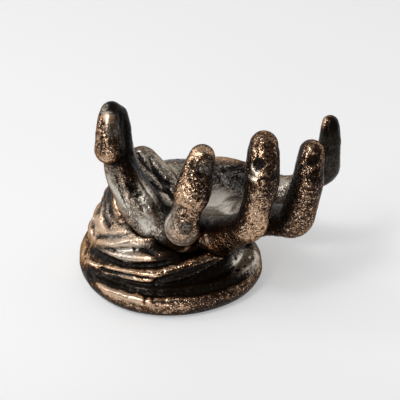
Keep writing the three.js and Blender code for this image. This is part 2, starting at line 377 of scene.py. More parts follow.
# ------------------------------------------------------------------ the drapery
CORE = np.array([
    (-2, -1, -1, 46, 42), (8, -1, -1, 46, 42), (16, -1.5, 1, 41.5, 38.5), (24, -3, 3, 36, 35),
    (32, -6.5, 8, 30, 32.5), (40, -11, 13, 22, 28.5), (47, -13, 16, 14, 22),
])


def drape_field(h):
    f = Field(*BOX, h)
    sl, x, y, z = f.window((-60, -60, -3), (60, 60, 56))
    zz = z.ravel()
    at = lambda k: np.interp(zz, CORE[:, 0], CORE[:, k]).astype(f32)[None, None, :]
    a, b = at(3), at(4)
    d = (np.sqrt(((x - at(1)) / a) ** 2 + ((y - at(2)) / b) ** 2) - 1) * np.minimum(a, b) * 0.9
    f.d[sl] = np.minimum(f.d[sl], smax(d, z - 44.0 + 0 * x, 6))

    def roll(rows, k=1.6, closed=False, n=7):
        tube(f, *spline(rows, n, closed), k=k)

    # hem roll round the foot
    t = np.radians(np.arange(0, 360, 20))
    off = lambda c: (t - c + np.pi) % (2 * np.pi) - np.pi
    bulge = 1.4 * np.exp(-(off(4.05) / 0.5) ** 2) + 2.0 * np.exp(-(off(5.75) / 0.45) ** 2) - 4.0 * np.exp(-(off(0.5) / 0.5) ** 2)
    roll([(-0.8 + (42.2 + g) * np.cos(a), -1.8 + (39.2 + g) * np.sin(a), 7.0 + 0.8 * np.sin(2 * a + 1), 8.0 + 0.5 * np.sin(3 * a)) for a, g in zip(t, bulge)], 2.0, True, 4)
    # second roll: low on the left, rising to the right under the fingers
    roll([(-40, 20, 15, 4.5), (-46, 6, 8.5, 5), (-42, -10, 11, 5), (-32, -23, 14, 5), (-21, -31, 16.5, 5), (-8, -35.5, 18, 5.2),
          (6, -35, 21, 5), (18, -31, 25, 4.6), (27, -25.5, 26, 3.2), (33, -19, 25, 1.5)])
    roll([(34.5, 1, 21, 1.6), (37, 10, 20, 3.2), (32.5, 21, 21, 4.2), (22, 32, 22, 4.5)])
    # swags at the front left
    roll([(-42, 4, 20, 3.5), (-40, -7, 17, 4), (-34, -16, 19.5, 4.2), (-22, -26, 22.5, 4.4), (-9, -30.5, 25.5, 4.2), (2, -29, 27, 3)], 4.0)
    roll([(-42, 4, 24, 4), (-37, -9, 22, 4.2), (-29, -17.5, 25.5, 4.4), (-19, -22.5, 30.5, 4.2), (-10, -24, 32.5, 3.4)], 4.0)
    roll([(-39.5, 2, 29, 3.6), (-32, -10, 28.5, 3.6), (-22, -18, 33, 3.4), (-17, -19.5, 35, 2.6)], 4.0)
    # folds that climb to the wrist on the left
    roll([(-23, 12, 50, 4), (-27.5, 6, 44.5, 4.8), (-26.5, -3, 38.5, 5), (-22.5, -10, 35, 4.6), (-17, -16, 34.5, 3.2)], 3.0)
    roll([(-29.5, 14, 46, 4), (-31.5, 8, 40, 4.4), (-33.5, 2, 34, 4.4), (-34.5, -4, 28, 3.4)], 3.0)
    roll([(-30, 20, 40, 5), (-35, 11, 31, 5), (-39, 5, 23, 5), (-40.5, 0, 16, 4)], 3.0)
    roll([(-33, 26, 28, 5), (-41, 13, 17, 5), (-44, 7, 9.5, 5)], 3.0)
    # swags round the back
    roll([(-42.5, 9, 24, 1.5), (-40.5, 16, 25, 3.2), (-35.5, 24.5, 23.5, 4.8), (-24, 34, 19, 5.4), (-4, 39, 16.5, 5.5), (16, 36.5, 18, 5.4), (33, 24, 19, 5), (40, 11, 16, 4), (41.5, 0, 12.5, 1.6)])
    roll([(-35.5, 8, 36, 1.5), (-35.5, 15.5, 35, 2.8), (-32.5, 24.5, 33, 4.6), (-22, 36, 27, 5.4), (-2, 41, 24, 5.4), (18, 38, 24, 5), (34, 25, 25, 4)])
    roll([(-30.5, 8, 43, 1.6), (-31, 14, 44, 3.0), (-29.5, 21.5, 43, 4.6), (-20, 35, 36, 5.4), (-2, 42.5, 32, 5.2), (16, 41, 29, 4.6)])
    return f


# ------------------------------------------------------------------ build the two skins
def rod_cut(f, r, z0, z1):
    sl, x, y, z = f.window((SCREW[0] - r - 3, SCREW[1] - r - 3, z0 - 3), (SCREW[0] + r + 3, SCREW[1] + r + 3, z1 + 3))
    d = np.sqrt((x - SCREW[0]) ** 2 + (y - SCREW[1]) ** 2) - r
    d = np.maximum(d, np.maximum(z - z1, z0 - z) + 0 * x)
    f.d[sl] = np.maximum(f.d[sl], -d)


def blurred(f, sigma):
    """Gaussian blur of a field; at its own surface it is above 0 on bulges, below 0 in hollows."""
    g = Field.__new__(Field)
    g.lo, g.h, g.n = f.lo, f.h, f.n
    d = f.d.astype(f32)
    r = int(math.ceil(2.5 * sigma / f.h))
    w = np.exp(-0.5 * (np.arange(-r, r + 1) * f.h / sigma) ** 2)
    w = (w / w.sum()).astype(f32)
    for ax in range(3):
        p = np.pad(d, [(r, r) if k == ax else (0, 0) for k in range(3)], mode="edge")
        out = np.zeros_like(d)
        for k in range(2 * r + 1):
            s = [slice(None)] * 3
            s[ax] = slice(k, k + d.shape[ax])
            out += w[k] * p[tuple(s)]
        d = out
    g.d = d
    return g


def skin(f, rounds=2):
    v, q = surface(f)
    v, q = largest_part(v, q)
    e = edges_of(q)
    v = relax(v, e, len(v), rounds, 0.5)
    return v, q, e


hand = hand_field(HAND_STEP)
drape_for_hand = drape_field(1.4)
hand_for_drape = hand_field(DRAPE_STEP)
drape = drape_field(DRAPE_STEP)

# cavity fields of the whole object
both = Field(*BOX, 1.4)
hand_coarse = hand_field(1.4)
both.d = np.clip(np.minimum(hand_coarse.d, drape_for_hand.d), -12, 12)
wide_field = blurred(both, 8.0)
mid_field = blurred(both, 3.2)

# drapery: socket for the hand, flat foot, recess for the felt, screw holes
sl, x, y, z = drape.window(BOX[0], BOX[1])
hand_for_drape.d[sl] = np.maximum(hand_for_drape.d[sl], SEAT_Z - z + 0 * x)
drape.d = smax(drape.d, 0.55 - hand_for_drape.d, 0.8)
drape.d[sl] = smax(drape.d[sl], FOOT_Z - z + 0 * x, 1.2)
pad = (np.sqrt((x / 42.35) ** 2 + (y / 37.85) ** 2) - 1) * 37.85
drape.d[sl] = np.maximum(drape.d[sl], -np.maximum(pad, z - 2.35))
rod_cut(drape, 8.2, 0, 9.35)
rod_cut(drape, 3.5, 0, 18)
sl, x, y, z = hand.window(BOX[0], BOX[1])
hand.d[sl] = np.maximum(hand.d[sl], SEAT_Z - z + 0 * x)
rod_cut(hand, 3.35, 10, 31)

hv, hq, he = skin(hand)
dv, dq, de = skin(drape)


# ------------------------------------------------------------------ modelled detail on the skins
def digit_frames(name):
    """For each bone: start, unit axis, length, palm side, sideways."""
    j = JOINTS[name]
    u = [(b - a) / np.linalg.norm(b - a) for a, b in zip(j[:-1], j[1:])]
    out = []
    for k in range(3):
        inward = (u[2] - u[0]) if k == 1 else (u[1] - u[0] if k == 0 else u[2] - u[1])
        n = inward - (inward @ u[k]) * u[k]
        n /= np.linalg.norm(n)
        out.append((j[k], u[k], np.linalg.norm(j[k + 1] - j[k]), n, np.cross(u[k], n)))
    return out


def hand_detail(v, n):
    d = np.zeros(len(v))
    for name in JOINTS:
        r = RADII[name]
        fr = digit_frames(name)
        # nail
        shown = {"index": 1.0, "middle": 1.0, "ring": 1.0, "little": 0.4, "thumb": 0.3}[name]
        o, a, ln, palm, side = fr[2]
        rel = v - o
        s, x, up = rel @ a, rel @ side, -(rel @ palm)
        hw = 0.66 * r[5]
        hs = 0.46 * ln + 1.2
        sc = 0.66 * ln + 1.0
        q = (np.abs((s - sc) / hs) ** 3 + np.abs(x / hw) ** 3) ** (1 / 3)
        front = step(up, 0.15 * r[5], 0.45 * r[5]) * (np.abs(s - sc) < hs * 1.8)
        d += shown * front * (0.12 * step(q, 0.98, 0.8) - 0.14 * np.exp(-((q - 1.02) / 0.11) ** 2) * step(s - sc, hs * 1.15, hs * 0.5)
                      + 0.08 * np.exp(-((q - 1.3) / 0.16) ** 2) * step(s - sc, hs * 0.9, hs * 0.1))
        # creases on the back of the joints and across the palm side
        for k, w in ((1, 0.5 * shown), (2, 0.6 * shown)):
            o1, a1, l1, p1, _ = fr[k - 1]
            o2, a2, l2, p2, _ = fr[k]
            ax = a1 + a2
            ax /= np.linalg.norm(ax)
            pm = p1 + p2
            pm /= np.linalg.norm(pm)
            rel = v - o2
            s = rel @ ax
            near = np.exp(-(np.linalg.norm(rel - np.outer(s, ax), axis=1) / (1.6 * r[2 * k])) ** 4)
            back = step(-(rel @ pm), 0.1 * r[2 * k], 0.7 * r[2 * k])
            wob = 0.6 * noise(v, 5.0, 11)
            for off, amp in ((-3.2, 0.22), (-0.4, 0.38), (2.4, 0.28)):
                d -= w * amp * near * back * np.exp(-((s - off + wob) / 0.75) ** 2)
            front = step(rel @ pm, 0.1 * r[2 * k], 0.7 * r[2 * k])
            d -= 0.5 * shown * near * front * np.exp(-((s + 0.5 * wob) / 0.8) ** 2)
    return d + sculpt(v, HAND_LINES, 41) + dents(v, HAND_DENTS)


# Lines cut into the skin or raised on it: points, half width, height
HAND_LINES = [
    # palm creases
    ([(-6, 30, 52), (4, 12, 45), (8, -4, 42), (4, -16, 44)], 1.3, -0.9),
    ([(10, -12, 42), (22, 2, 37), (34, 16, 41), (40, 26, 47)], 2.2, -0.12),
    ([(26, -10, 40), (38, 2, 42), (50, 14, 47)], 2.2, -0.12),
    # index finger: joint crease, edge of the joint, side fold, nail
    ([(6.1, -56.2, 67.6), (8.9, -56.7, 66.2), (12.3, -56, 64.8), (15.6, -52.9, 64)], 1.0, -1.0),
    ([(-1.7, -51.9, 55.4), (0.3, -52.6, 51.1), (4.1, -53, 48.6), (8.4, -52.3, 47.9), (12.1, -50.1, 48.6), (14.4, -50.9, 53.5)], 0.8, 0.35),
    ([(1.3, -51.6, 68.7), (-0.6, -51.3, 64.1), (-2.3, -51.1, 58.3), (-1.7, -50.4, 52.6)], 1.3, -0.7),
    ([(11, -42.6, 91.5), (11.2, -45.9, 88.9), (13.3, -48.9, 86.9), (16.4, -49.5, 85.3), (20, -46.5, 83.9), (21.9, -41.9, 84.2)], 0.9, -0.6),
    # sliver under its base
    ([(2.6, -31, 29), (5.6, -32.8, 31.3), (7.5, -34, 33), (8.7, -35.8, 35.6), (9.8, -37.4, 37.6)], 0.8, 0.4),
    # middle finger: nail, joint creases
    ([(39, -39.7, 96.4), (38.4, -44, 91.4), (39.4, -48.3, 87), (42.3, -51.7, 85.4), (46.1, -51.4, 85.9), (48.7, -49.2, 88.7)], 0.9, -0.5),
    ([(39.9, -54.2, 66.9), (42.8, -54.5, 68.4), (46.1, -53.8, 69.1), (48.4, -52.5, 69.8)], 0.9, -0.6),
    ([(42.5, -54.5, 56.3), (44.7, -53.8, 56.9), (47.3, -52.2, 58.3)], 0.8, -0.6),
    ([(39.4, -54.6, 62.6), (41.3, -55, 60.4), (42.5, -54.5, 56.3), (43, -50.8, 50.1)], 0.9, -0.5),
    ([(39.3, -50.2, 85), (41.2, -52, 83.9), (43.6, -52.8, 83.6), (45.8, -52.2, 84)], 0.9, 0.5),
    # ring finger: nail, joint crease
    ([(66.4, -27.6, 86.5), (66.9, -30.6, 83.7), (68.6, -33, 82.5), (71.6, -32.7, 83), (74.2, -30.1, 84.7)], 0.9, -0.6),
    ([(65.8, -39.4, 62.6), (69.4, -39.1, 63.3), (73.9, -35.6, 64)], 0.8, -0.35),
    # thumb: nail, split along its back
    ([(-33.1, -10.3, 100.3), (-33.3, -15, 97), (-32.1, -18.3, 93.7), (-29.3, -19.3, 91.2), (-26.7, -17.8, 91.7), (-26, -14.9, 94.6)], 1.2, -0.25),
    ([(-27.1, -16.6, 70.5), (-27.1, -17.6, 64.8), (-25, -18.9, 59), (-22.8, -20.9, 52.5), (-19.2, -23.1, 45.3), (-14.8, -25, 39.1)], 0.9, -0.6),
    ([(-22, -12.5, 72), (-17.5, -14, 64), (-14, -15.5, 58.5), (-10.5, -17.5, 54), (-7.4, -20.2, 48)], 1.5, 0.9),
    ([(-18, -8, 66), (-13, -9.5, 58.5), (-9, -11.5, 53), (-5, -15, 47.5)], 2.2, -1.6),
    ([(-26.3, -8.8, 100.7), (-25.3, -12, 96.5), (-24.3, -14.2, 92.1), (-23.8, -16, 87.8), (-24, -18.5, 83.5), (-25.5, -20.3, 79.8)], 1.2, -0.8),
    # ball of the thumb: grooves
    ([(-19.1, 25.8, 59), (-17, 19.3, 57.6), (-14.5, 14.2, 56.5), (-11.2, 10, 54.7)], 1.5, -1.5),
    ([(-12.7, 21.5, 58.3), (-10.7, 16, 56.6), (-8.4, 11.9, 54.2), (-4.1, 7.8, 50.9), (1, 6.4, 48.3)], 2.0, -1.9),
    ([(-11.2, 1.3, 54), (-8.4, -0.9, 52.4), (-5.1, -1.6, 50), (0.3, 3.5, 46.8)], 1.8, -1.4),
    # heel of the hand: groove and two fine ridges
    ([(26.2, 26, 45.1), (30.5, 27, 47.1), (34.8, 27.1, 47.8), (39.2, 28, 48.1)], 1.5, -0.7),
    ([(29.1, 24.9, 44.8), (34.1, 24.9, 46.3), (39, 25.5, 47)], 0.8, 0.25),
    ([(30.5, 23, 43.2), (35.6, 23.1, 45.1), (40, 23.5, 46)], 0.8, 0.25),
]
DRAPE_LINES = [
    # hem: groove above it, bright edge
    ([(-45.8, -20.8, 10.9), (-41.9, -28.5, 11.2), (-32.7, -36.2, 13.4), (-19.5, -42.8, 13.9), (-9.6, -45.2, 13.7), (0.3, -45.3, 13.9), (12.7, -43.5, 13.2),
      (26.5, -37.4, 12.6), (36.5, -29.3, 12), (45.1, -17.5, 10.7)], 2.4, -2.0),
    ([(-42.2, -27.5, 11.4), (-39.6, -31.2, 11.4), (-34.7, -36.8, 10.8), (-27, -42.1, 11.2), (-19.5, -45.6, 11), (-12.7, -47.8, 10.6), (-8.4, -48.2, 11), (-4, -47.4, 12.1)], 2.0, 1.0),
    # second roll: double edge, grooves, right end
    ([(-46.1, -15.5, 13.5), (-40.3, -21.4, 15.3), (-33.2, -27.7, 17.3), (-22, -35.2, 19.9), (-9.8, -39.6, 20.7), (-4.6, -39.8, 21.6)], 0.95, 0.7),
    ([(-37.7, -24.9, 14.7), (-32.8, -29.4, 15.2), (-21.7, -36.4, 17.1), (-9.6, -40.4, 17.9)], 0.95, 0.7),
    ([(-44, -8.3, 16.4), (-35.3, -20.7, 20.5), (-27.5, -27.8, 21.1), (-18.3, -32.8, 22.4), (-10.9, -34.4, 24), (-5.3, -34.3, 24.3), (0.6, -32.6, 25.8)], 1.7, -1.9),
    ([(-5.2, -39.6, 21.7), (0.3, -38.9, 23.4), (7.8, -37.5, 25.6), (15.2, -35.7, 28), (22.6, -33.3, 29.2)], 3.6, 0.7),
    ([(-9.6, -40.3, 16.8), (-2.8, -40.8, 19.2), (4.6, -39.9, 21.6), (15.2, -37.8, 24.2), (27, -32.8, 25.4)], 2.0, -1.6),
    ([(-37.8, -23.8, 15.4), (-33, -28.6, 16.3), (-21.9, -35.8, 18.5), (-9.7, -40.1, 19.3)], 1.0, -0.9),
    ([(-11.4, -43.3, 12.8), (-12.6, -46.0, 12.0), (-13.3, -48.3, 11.4)], 1.0, -0.5),
    ([(-11.4, -43.3, 12.8), (-10.1, -46.0, 12.0), (-9.0, -48.9, 11.4)], 1.0, -0.5),
    # third fold
    ([(-40.8, -10.9, 21), (-33.8, -19.8, 24.3), (-26, -24.5, 26.8), (-14.6, -28.5, 28.7), (-5.3, -33.6, 28.1)], 1.3, -1.5),
    ([(-35.7, -19.2, 22.4), (-33.4, -21.9, 22.6), (-27.3, -27, 23.9), (-19.7, -31.2, 25.7), (-12.9, -33.7, 26.9), (-6.7, -34.4, 27)], 2.2, 0.8),
    # fourth fold
    ([(-40.6, -10.6, 22.3), (-33.6, -19, 26.5), (-25.6, -24.1, 30.4), (-18.1, -25.8, 33.9)], 2.0, 0.9),
    ([(-42.3, -7.2, 23.4), (-33.8, -14.2, 28.1), (-26.7, -19.5, 32), (-19.6, -22.5, 35)], 1.1, -1.2),
    ([(-41.8, -2.4, 26.5), (-35.6, -11.1, 28.5), (-27.6, -17.9, 32.9), (-22.2, -21.3, 35)], 1.1, 0.7),
    # folds that climb on the left
    ([(-35.7, 0, 37.2), (-33, -4.7, 33.9), (-28, -13.6, 33.9), (-22.5, -20.2, 35.8)], 2.0, 0.9),
    ([(-37.6, 14.3, 36.2), (-37.7, 2.5, 35.4), (-38.2, -4.3, 31.6)], 2.0, 0.6),
    ([(-36.3, 5.6, 39.7), (-36.6, -0.9, 35.6), (-35, -5.6, 32.3), (-32.7, -11.8, 31.9)], 1.3, -1.1),
    ([(-40.4, 11, 31.4), (-41.3, 3.1, 31.7), (-42.4, -1.2, 26.5), (-42.3, -7.2, 23.4)], 1.2, -1.3),
    ([(-42.3, 2.5, 31), (-44.5, 0.3, 25.1), (-45.1, -1.2, 18)], 2.0, 0.5),
    ([(-44.3, -4.3, 19.2), (-46.3, -4.9, 15.2), (-47.6, -9.9, 13.8)], 1.2, -1.0),
]


# Blow holes and hollows: x, y, z, radius, depth
HAND_DENTS = [
    (-19.2, -17.6, 61.2, 2.6, 0.7), (-17.7, -18.3, 58.5, 2.8, 0.9), (-15.6, -19.7, 55.6, 2.8, 0.9), (-13.4, -21.6, 52.5, 2.4, 0.7),
    (42.9, -48.6, 91.6, 2.3, 1.3), (40.5, -48.8, 90.3, 1.2, 0.7), (42.7, -46.9, 92.9, 1.1, 0.5), (44.9, -45, 97.4, 0.9, 0.4), (47.4, -46.6, 94.7, 1.0, 0.4), (42.5, -49.7, 89.2, 1.2, 0.8), (45.6, -49.0, 92.0, 1.1, 0.6),
    (39.4, -46, 91, 0.9, 0.5), (43.2, -52.4, 84.5, 1.0, 0.5), (46.4, -49.5, 90.5, 0.8, 0.4), (39.2, -49.5, 85.8, 0.9, 0.5),
    (70.5, -31.5, 84.5, 2.6, 1.0), (16.5, -47, 88.5, 3.2, 0.5), (8.2, -58, 61.0, 3.2, 0.5), (45.5, -55, 59, 1.4, 0.5), (83.5, -4, 76, 5, 0.7),
]
DRAPE_DENTS = [
    (40, -17.3, 14.3, 1.2, 0.8), (42.5, -13.6, 14.3, 1.1, 0.8), (38.1, -21, 14.2, 1.0, 0.7), (44, -17.7, 12.1, 1.0, 0.7), (34.4, -24.8, 14.2, 1.1, 0.7), (-8.3, -40.2, 16.9, 1.4, 0.9), (-6, -40.5, 18.5, 1.2, 0.8), (-3, -40.5, 20, 0.9, 0.6),
]


def dents(v, rows):
    """Hollows of uneven outline with a slightly raised rim."""
    d = np.zeros(len(v))
    for k, (x, y, z, r, depth) in enumerate(rows):
        near = np.where(((v - np.array([x, y, z])) ** 2).sum(1) < 16 * r * r + 4)[0]
        p = v[near]
        p = p + 0.55 * r * np.stack([noise(p, 1.5 * r, 200 + 3 * k + c) for c in range(3)], 1)
        q = ((p - np.array([x, y, z])) ** 2).sum(1) / r ** 2
        d[near] -= depth * np.exp(-q * q * 0.6) - 0.15 * depth * np.exp(-(q - 2.2) ** 2)
    return d


def sculpt(v, lines, seed):
    """Height of the cut and raised lines, a little uneven along their way."""
    d = np.zeros(len(v))
    wob = np.stack([noise(v, 6.0, seed + k) for k in range(3)], 1) * 0.5
    rub = 1 + 0.35 * noise(v, 4.0, seed + 5)
    for pts, wid, hgt in lines:
        m = 3 * wid + 2
        box = np.array(pts)
        near = np.where(((v > box.min(0) - m) & (v < box.max(0) + m)).all(1))[0]
        q = spline(np.c_[box, np.zeros(len(box))], 4)[0]
        dist, t = line_distance(v[near] + wob[near], q)
        d[near] += hgt * rub[near] * np.exp(-(dist / wid) ** 2) * step(t, -0.02, 0.10) * step(t, 1.02, 0.88)
    return d


# where the casting is coarse
HAND_COARSE = [
    (12, -54, 76, 22, 0.6), (42, -52, 72, 30, 0.5), (66, -38, 62, 26, 0.5), (-30, -19, 88, 14, 0.4), (-22, -20, 62, 12, 0.5), (-14, -21, 50, 10, 0.4), (30, -40, 42, 16, 0.4), (-13, -16.5, 57, 4, -0.6), (7.8, -57, 60.6, 4, -0.5), (58, -2, 45, 10, 0.5), (-6, -23, 42, 9, 0.5), (26, 2, 37, 16, -0.04), (84, -1, 70, 14, -0.2), (-8, 18, 55, 14, 0.05), (-30.7, -13.5, 98.5, 5, -0.5), (41, -50, 88, 3, -0.5),
]
DRAPE_COARSE = [
    (20, -42, 8, 22, 0.7), (42, -20, 6, 14, 0.5), (-20, -26, 28, 16, 0.3), (0, 44, 20, 40, 0.3), (38, -17, 16, 12, -0.14), (-40, -2, 28, 15, -0.10),
]


def dabs(v, n, rows, start, lean=0.0):
    """A painted value: rows of x, y, z, radius, change, and for some a direction that it faces."""
    out = np.full(len(v), float(start)) + lean
    for row in rows:
        w = np.exp(-(((v - np.array(row[:3])) ** 2).sum(1) / row[3] ** 2) ** 1.5)
        if len(row) > 5:
            w = w * step(n @ np.array(row[5]), 0.0, 0.7)
        out += w * row[4]
    return out


def cast_grain(v, seed, lump, coarse):
    """Lumps, grain and pits of a sand casting."""
    g = lump * noise(v, 9.0, seed) + 0.11 * noise(v, 4.2, seed + 1) + (0.04 + 0.16 * coarse) * noise(v, 2.3, seed + 2)
    p = pits(v, 5.0, seed + 3, 0.16, 0.95)
    return g - 0.5 * p, p


hn = normals(hv, hq)
hd = hand_detail(hv, hn)
hc = np.clip(dabs(hv, hn, HAND_COARSE, 0.3), 0, 1)
hg, hp = cast_grain(hv, 3, 0.28, hc)
buried = step(hand_for_drape.at(hv) * 0 + drape_for_hand.at(hv), -3.0, 0.5)   # no detail where the drapery holds the wrist
hv2 = hv + hn * (hd + hg * (0.25 + 0.75 * buried))[:, None]

dn = normals(dv, dq)
dc = np.clip(dabs(dv, dn, DRAPE_COARSE, 0.16), 0, 1)
dg, dp = cast_grain(dv, 23, 0.3, dc)
free = step(dv[:, 2], 2.6, 4.5) * step(hand_for_drape.at(dv), 0.6, 1.6)
dv2 = dv + dn * ((dg + sculpt(dv, DRAPE_LINES, 61) + dents(dv, DRAPE_DENTS)) * free)[:, None]


def strokes(v, rows):
    """A painted value along lines: points, half width, change."""
    out = np.zeros(len(v))
    for pts, wid, change in rows:
        box = np.array(pts, float)
        near = np.where(((v > box.min(0) - 3 * wid) & (v < box.max(0) + 3 * wid)).all(1))[0]
        dist, t = line_distance(v[near], spline(np.c_[box, np.zeros(len(box))], 4)[0])
        out[near] += change * np.exp(-(dist / wid) ** 2) * step(t, -0.05, 0.08) * step(t, 1.05, 0.92)
    return out


def outward(v, n):
    """How far a place faces away from the middle of the bowl."""
    d = v - np.array([22.0, 2.0, 70.0])
    d[:, 2] *= 0.4
    return (d / np.linalg.norm(d, axis=1, keepdims=True) * n).sum(1)


# where more or less bronze was rubbed on; some dabs are painted shade and some painted highlights
HAND_RUB_AND_PAINTED_LIGHT = [
    # end of the thumb: black cap, painted shade along its left edge, a painted highlight patch on the nail, and no
    # bronze on the pale band below it
    (-26.5, -4.5, 104.5, 6.5, -1.3), (-33, -9.2, 101.2, 3.2, -1.3), (-29.5, -9.6, 101.8, 3.2, -1.3), (-29.6, -13.6, 98.8, 2.8, 0.9), (-34.3, -14, 96, 3.2, -0.7), (-29.2, -17, 94.6, 2.4, -0.6),
    # fingertips stay black; the thumb's left-facing rim gets painted shade
    (-25, -3, 105, 10, -1.9), (-30, -8, 104, 6.5, -1.6), (-36, -17, 85, 12, -0.35, (-0.9, -0.2, 0.2)), (15, -37, 97, 6, -0.5), (45.5, -38, 103, 8, -0.40), (71, -24, 90, 7, -0.5), (82.6, 4.4, 92, 5, -0.5),
    # painted shade on the inner side of the thumb, which faces away from the key light
    (-21, -9, 80, 9.5, -2.0), (-21, -6.5, 90, 9.5, -2.2), (-20.5, -2.5, 99, 9, -2.0),
    # nails, with a painted glint on the lip below the middle finger's pit
    (43.2, -48.3, 92.2, 3.0, -2.2), (40.6, -50.4, 86.4, 3.0, 0.5), (70, -31, 84, 5, -0.3), (12, -45.5, 90.5, 2.6, -0.8), (17.5, -45.5, 90, 3.0, -0.1), (14.2, -48, 87.4, 2.4, -0.8), (19, -46, 86.5, 3, -0.3), (15.2, -45.4, 90.6, 1.8, 0.5), (14.5, -40.6, 95.2, 3.2, 0.6), (12, -41.5, 93.6, 2.5, 0.5), (15, -36, 96, 4, -0.6), (6.8, -50, 82.5, 4.0, 0.35),
    # little finger: only its upper left takes bronze
    (86, -2, 80, 8, -2.0), (83, -3, 66, 15, -2.2), (79.5, 1, 88, 4.2, 0.9), (84.6, 0.6, 87.5, 4.5, -2.2), (83.2, -2, 82, 4.5, -2.0),
    # painted shade on the right flanks of the fingers and on the left flanks of the middle and ring fingers, beside
    # their neighbours
    (20, -44, 78, 16, -0.8, (0.95, -0.2, 0.1)), (52, -46, 84, 20, -0.9, (0.95, -0.2, 0.1)), (76, -30, 72, 18, -0.8, (0.95, -0.2, 0.1)), (62, -28, 70, 19, -1.3, (-0.9, 0.35, 0.1)), (36, -44, 70, 22, -1.3, (-0.9, 0.35, 0.1)),
    # thumb: nail lobe takes bronze, with a painted highlight on the nail; first bone and web less, and its left-facing
    # lower edge less, where pale iron paints a reflection
    (-32, -21, 85, 11, 0.1), (-31, -14, 98.5, 4, 0.7), (-24, -18, 62, 10, 0.1), (-14, -18, 52, 10, -0.2), (-8, -20, 44, 10, -0.3),
    (-30, -16, 64, 9, -0.6, (-0.8, -0.5, -0.2)), (-25, -20, 54, 8, -0.6, (-0.6, -0.7, 0)), (-16, -24, 41, 8, -0.6),
    (-26, -17.5, 66, 3.5, 0.6), (-23.5, -19, 58, 3.5, 0.6), (-19, -20, 56, 4, 0.4), (-13, -22, 48, 4, 0.5),
    # fingers
    (7.8, -57, 60.6, 3.6, -0.75), (-1, -50.5, 61, 5, -0.5), (2, -50, 68, 4, -0.4), (-3, -5, 48, 5, -0.5), (-8, 22, 56, 14, -0.6), (59, 8, 46, 7, -0.5), (6, -55, 54, 9, -0.25), (12, -55, 78, 10, 0.2), (10.4, -56, 72.6, 5, -0.2), (5.5, -53.5, 78, 4.5, 0.4), (40, -54, 62, 14, 0.25), (30, -44, 44, 13, 0.30), (23, -35, 38, 8, 0.5), (63, -37, 54, 12, -0.3), (68.5, -31.6, 88.5, 4.2, 1.1), (73.2, -29.5, 87.5, 3.2, -0.9), (60, -30, 44, 12, -0.25),
    # between index and middle finger
    (15.6, -35, 44, 5.5, 0.9), (16.6, -31.5, 38.5, 5, 0.9),
    # palm, ball of the thumb and heel
    (20, 8, 42, 36, -0.5), (-8, 20, 54, 20, -0.5), (30, 32, 48, 20, -0.05), (31, 37, 52, 12, 0.8),
]
HAND_STROKES = [
    # rim of the index finger's knuckle
    ([(-1.8, -50.4, 58), (-1.7, -50.4, 53.3), (1.3, -53.7, 51.4), (6.7, -54.4, 50), (10.6, -55.1, 53), (12.8, -54.5, 57)], 2.2, -0.45),
    # crease beside the nail lobe of the thumb
    ([(-25.6, -8, 101), (-24.4, -11, 96.5), (-23.3, -13, 92.1), (-22.9, -15, 87.8), (-23.2, -17.5, 83.5), (-24.6, -19.5, 79.8)], 2.5, -1.4),
    # hollow in the first bone of the thumb
    ([(-21, -17, 63.5), (-18.5, -18, 60), (-16.5, -19, 57)], 2.6, -0.9),
    ([(-17, -19, 57.2), (-15, -20.3, 54.5), (-12.8, -21.9, 51.3), (-11, -22.8, 48.5)], 1.8, -0.8),
    # lower edge of the thumb loses bronze for a painted reflection, the split above it holds bronze, the inner edge
    # loses bronze for a painted highlight
    ([(-33.1, -15.5, 69.8), (-32.3, -16.2, 66.9), (-30.7, -17.4, 61.9), (-27, -19.5, 56.8), (-22.8, -21.2, 51.1), (-17, -23.6, 44.6), (-11, -25.3, 36)], 3.0, -0.7),
    ([(-27.1, -16.5, 70.5), (-24.5, -18.3, 59.4), (-21.3, -20.2, 53.2), (-13.5, -23.5, 42.5)], 1.6, 0.5),
    ([(-16, -14, 62), (-14.9, -14.5, 60.3), (-12.9, -15.8, 57.4), (-11, -17.7, 55), (-9.8, -19.6, 52.5)], 2.0, -0.8),
]
# pale iron laid along lines: points, half width, change; partly bare iron, partly painted glints, highlights and
# reflections
HAND_BARE_AND_GLINTS = [
    # painted glint along the sliver under the base of the index finger
    ([(2.6, -31, 29), (5.6, -32.8, 31.3), (7.5, -34, 33), (8.7, -35.8, 35.6), (9.8, -37.4, 37.6)], 0.8, 1.5),
    # rim of the index finger's knuckle
    ([(-1.8, -50.4, 58), (-1.7, -50.4, 53.3), (1.3, -53.7, 51.4), (6.7, -54.4, 50), (10.6, -55.1, 53), (12.8, -54.5, 57)], 2.2, 0.7),
    # painted glints in the hollow of the thumb's first bone, painted reflection along its lower edge, painted highlight
    # along its inner edge, and the pale web
    ([(-17, -19, 57.2), (-15, -20.3, 54.5), (-12.8, -21.9, 51.3), (-11, -22.8, 48.5)], 1.8, 1.1),
    ([(-33.1, -15.5, 69.8), (-32.3, -16.2, 66.9), (-30.7, -17.4, 61.9), (-27, -19.5, 56.8), (-22.8, -21.2, 51.1), (-17, -23.6, 44.6), (-11, -25.3, 36)], 3.0, 0.6),
    ([(-16, -14, 62), (-14.9, -14.5, 60.3), (-12.9, -15.8, 57.4), (-11, -17.7, 55), (-9.8, -19.6, 52.5)], 2.0, 1.2),
    ([(-14.5, -21.5, 51.5), (-12.2, -22.9, 48.9), (-8.5, -23.5, 44), (-5.8, -25, 39), (-4.5, -27, 33)], 3.8, 0.4),
]
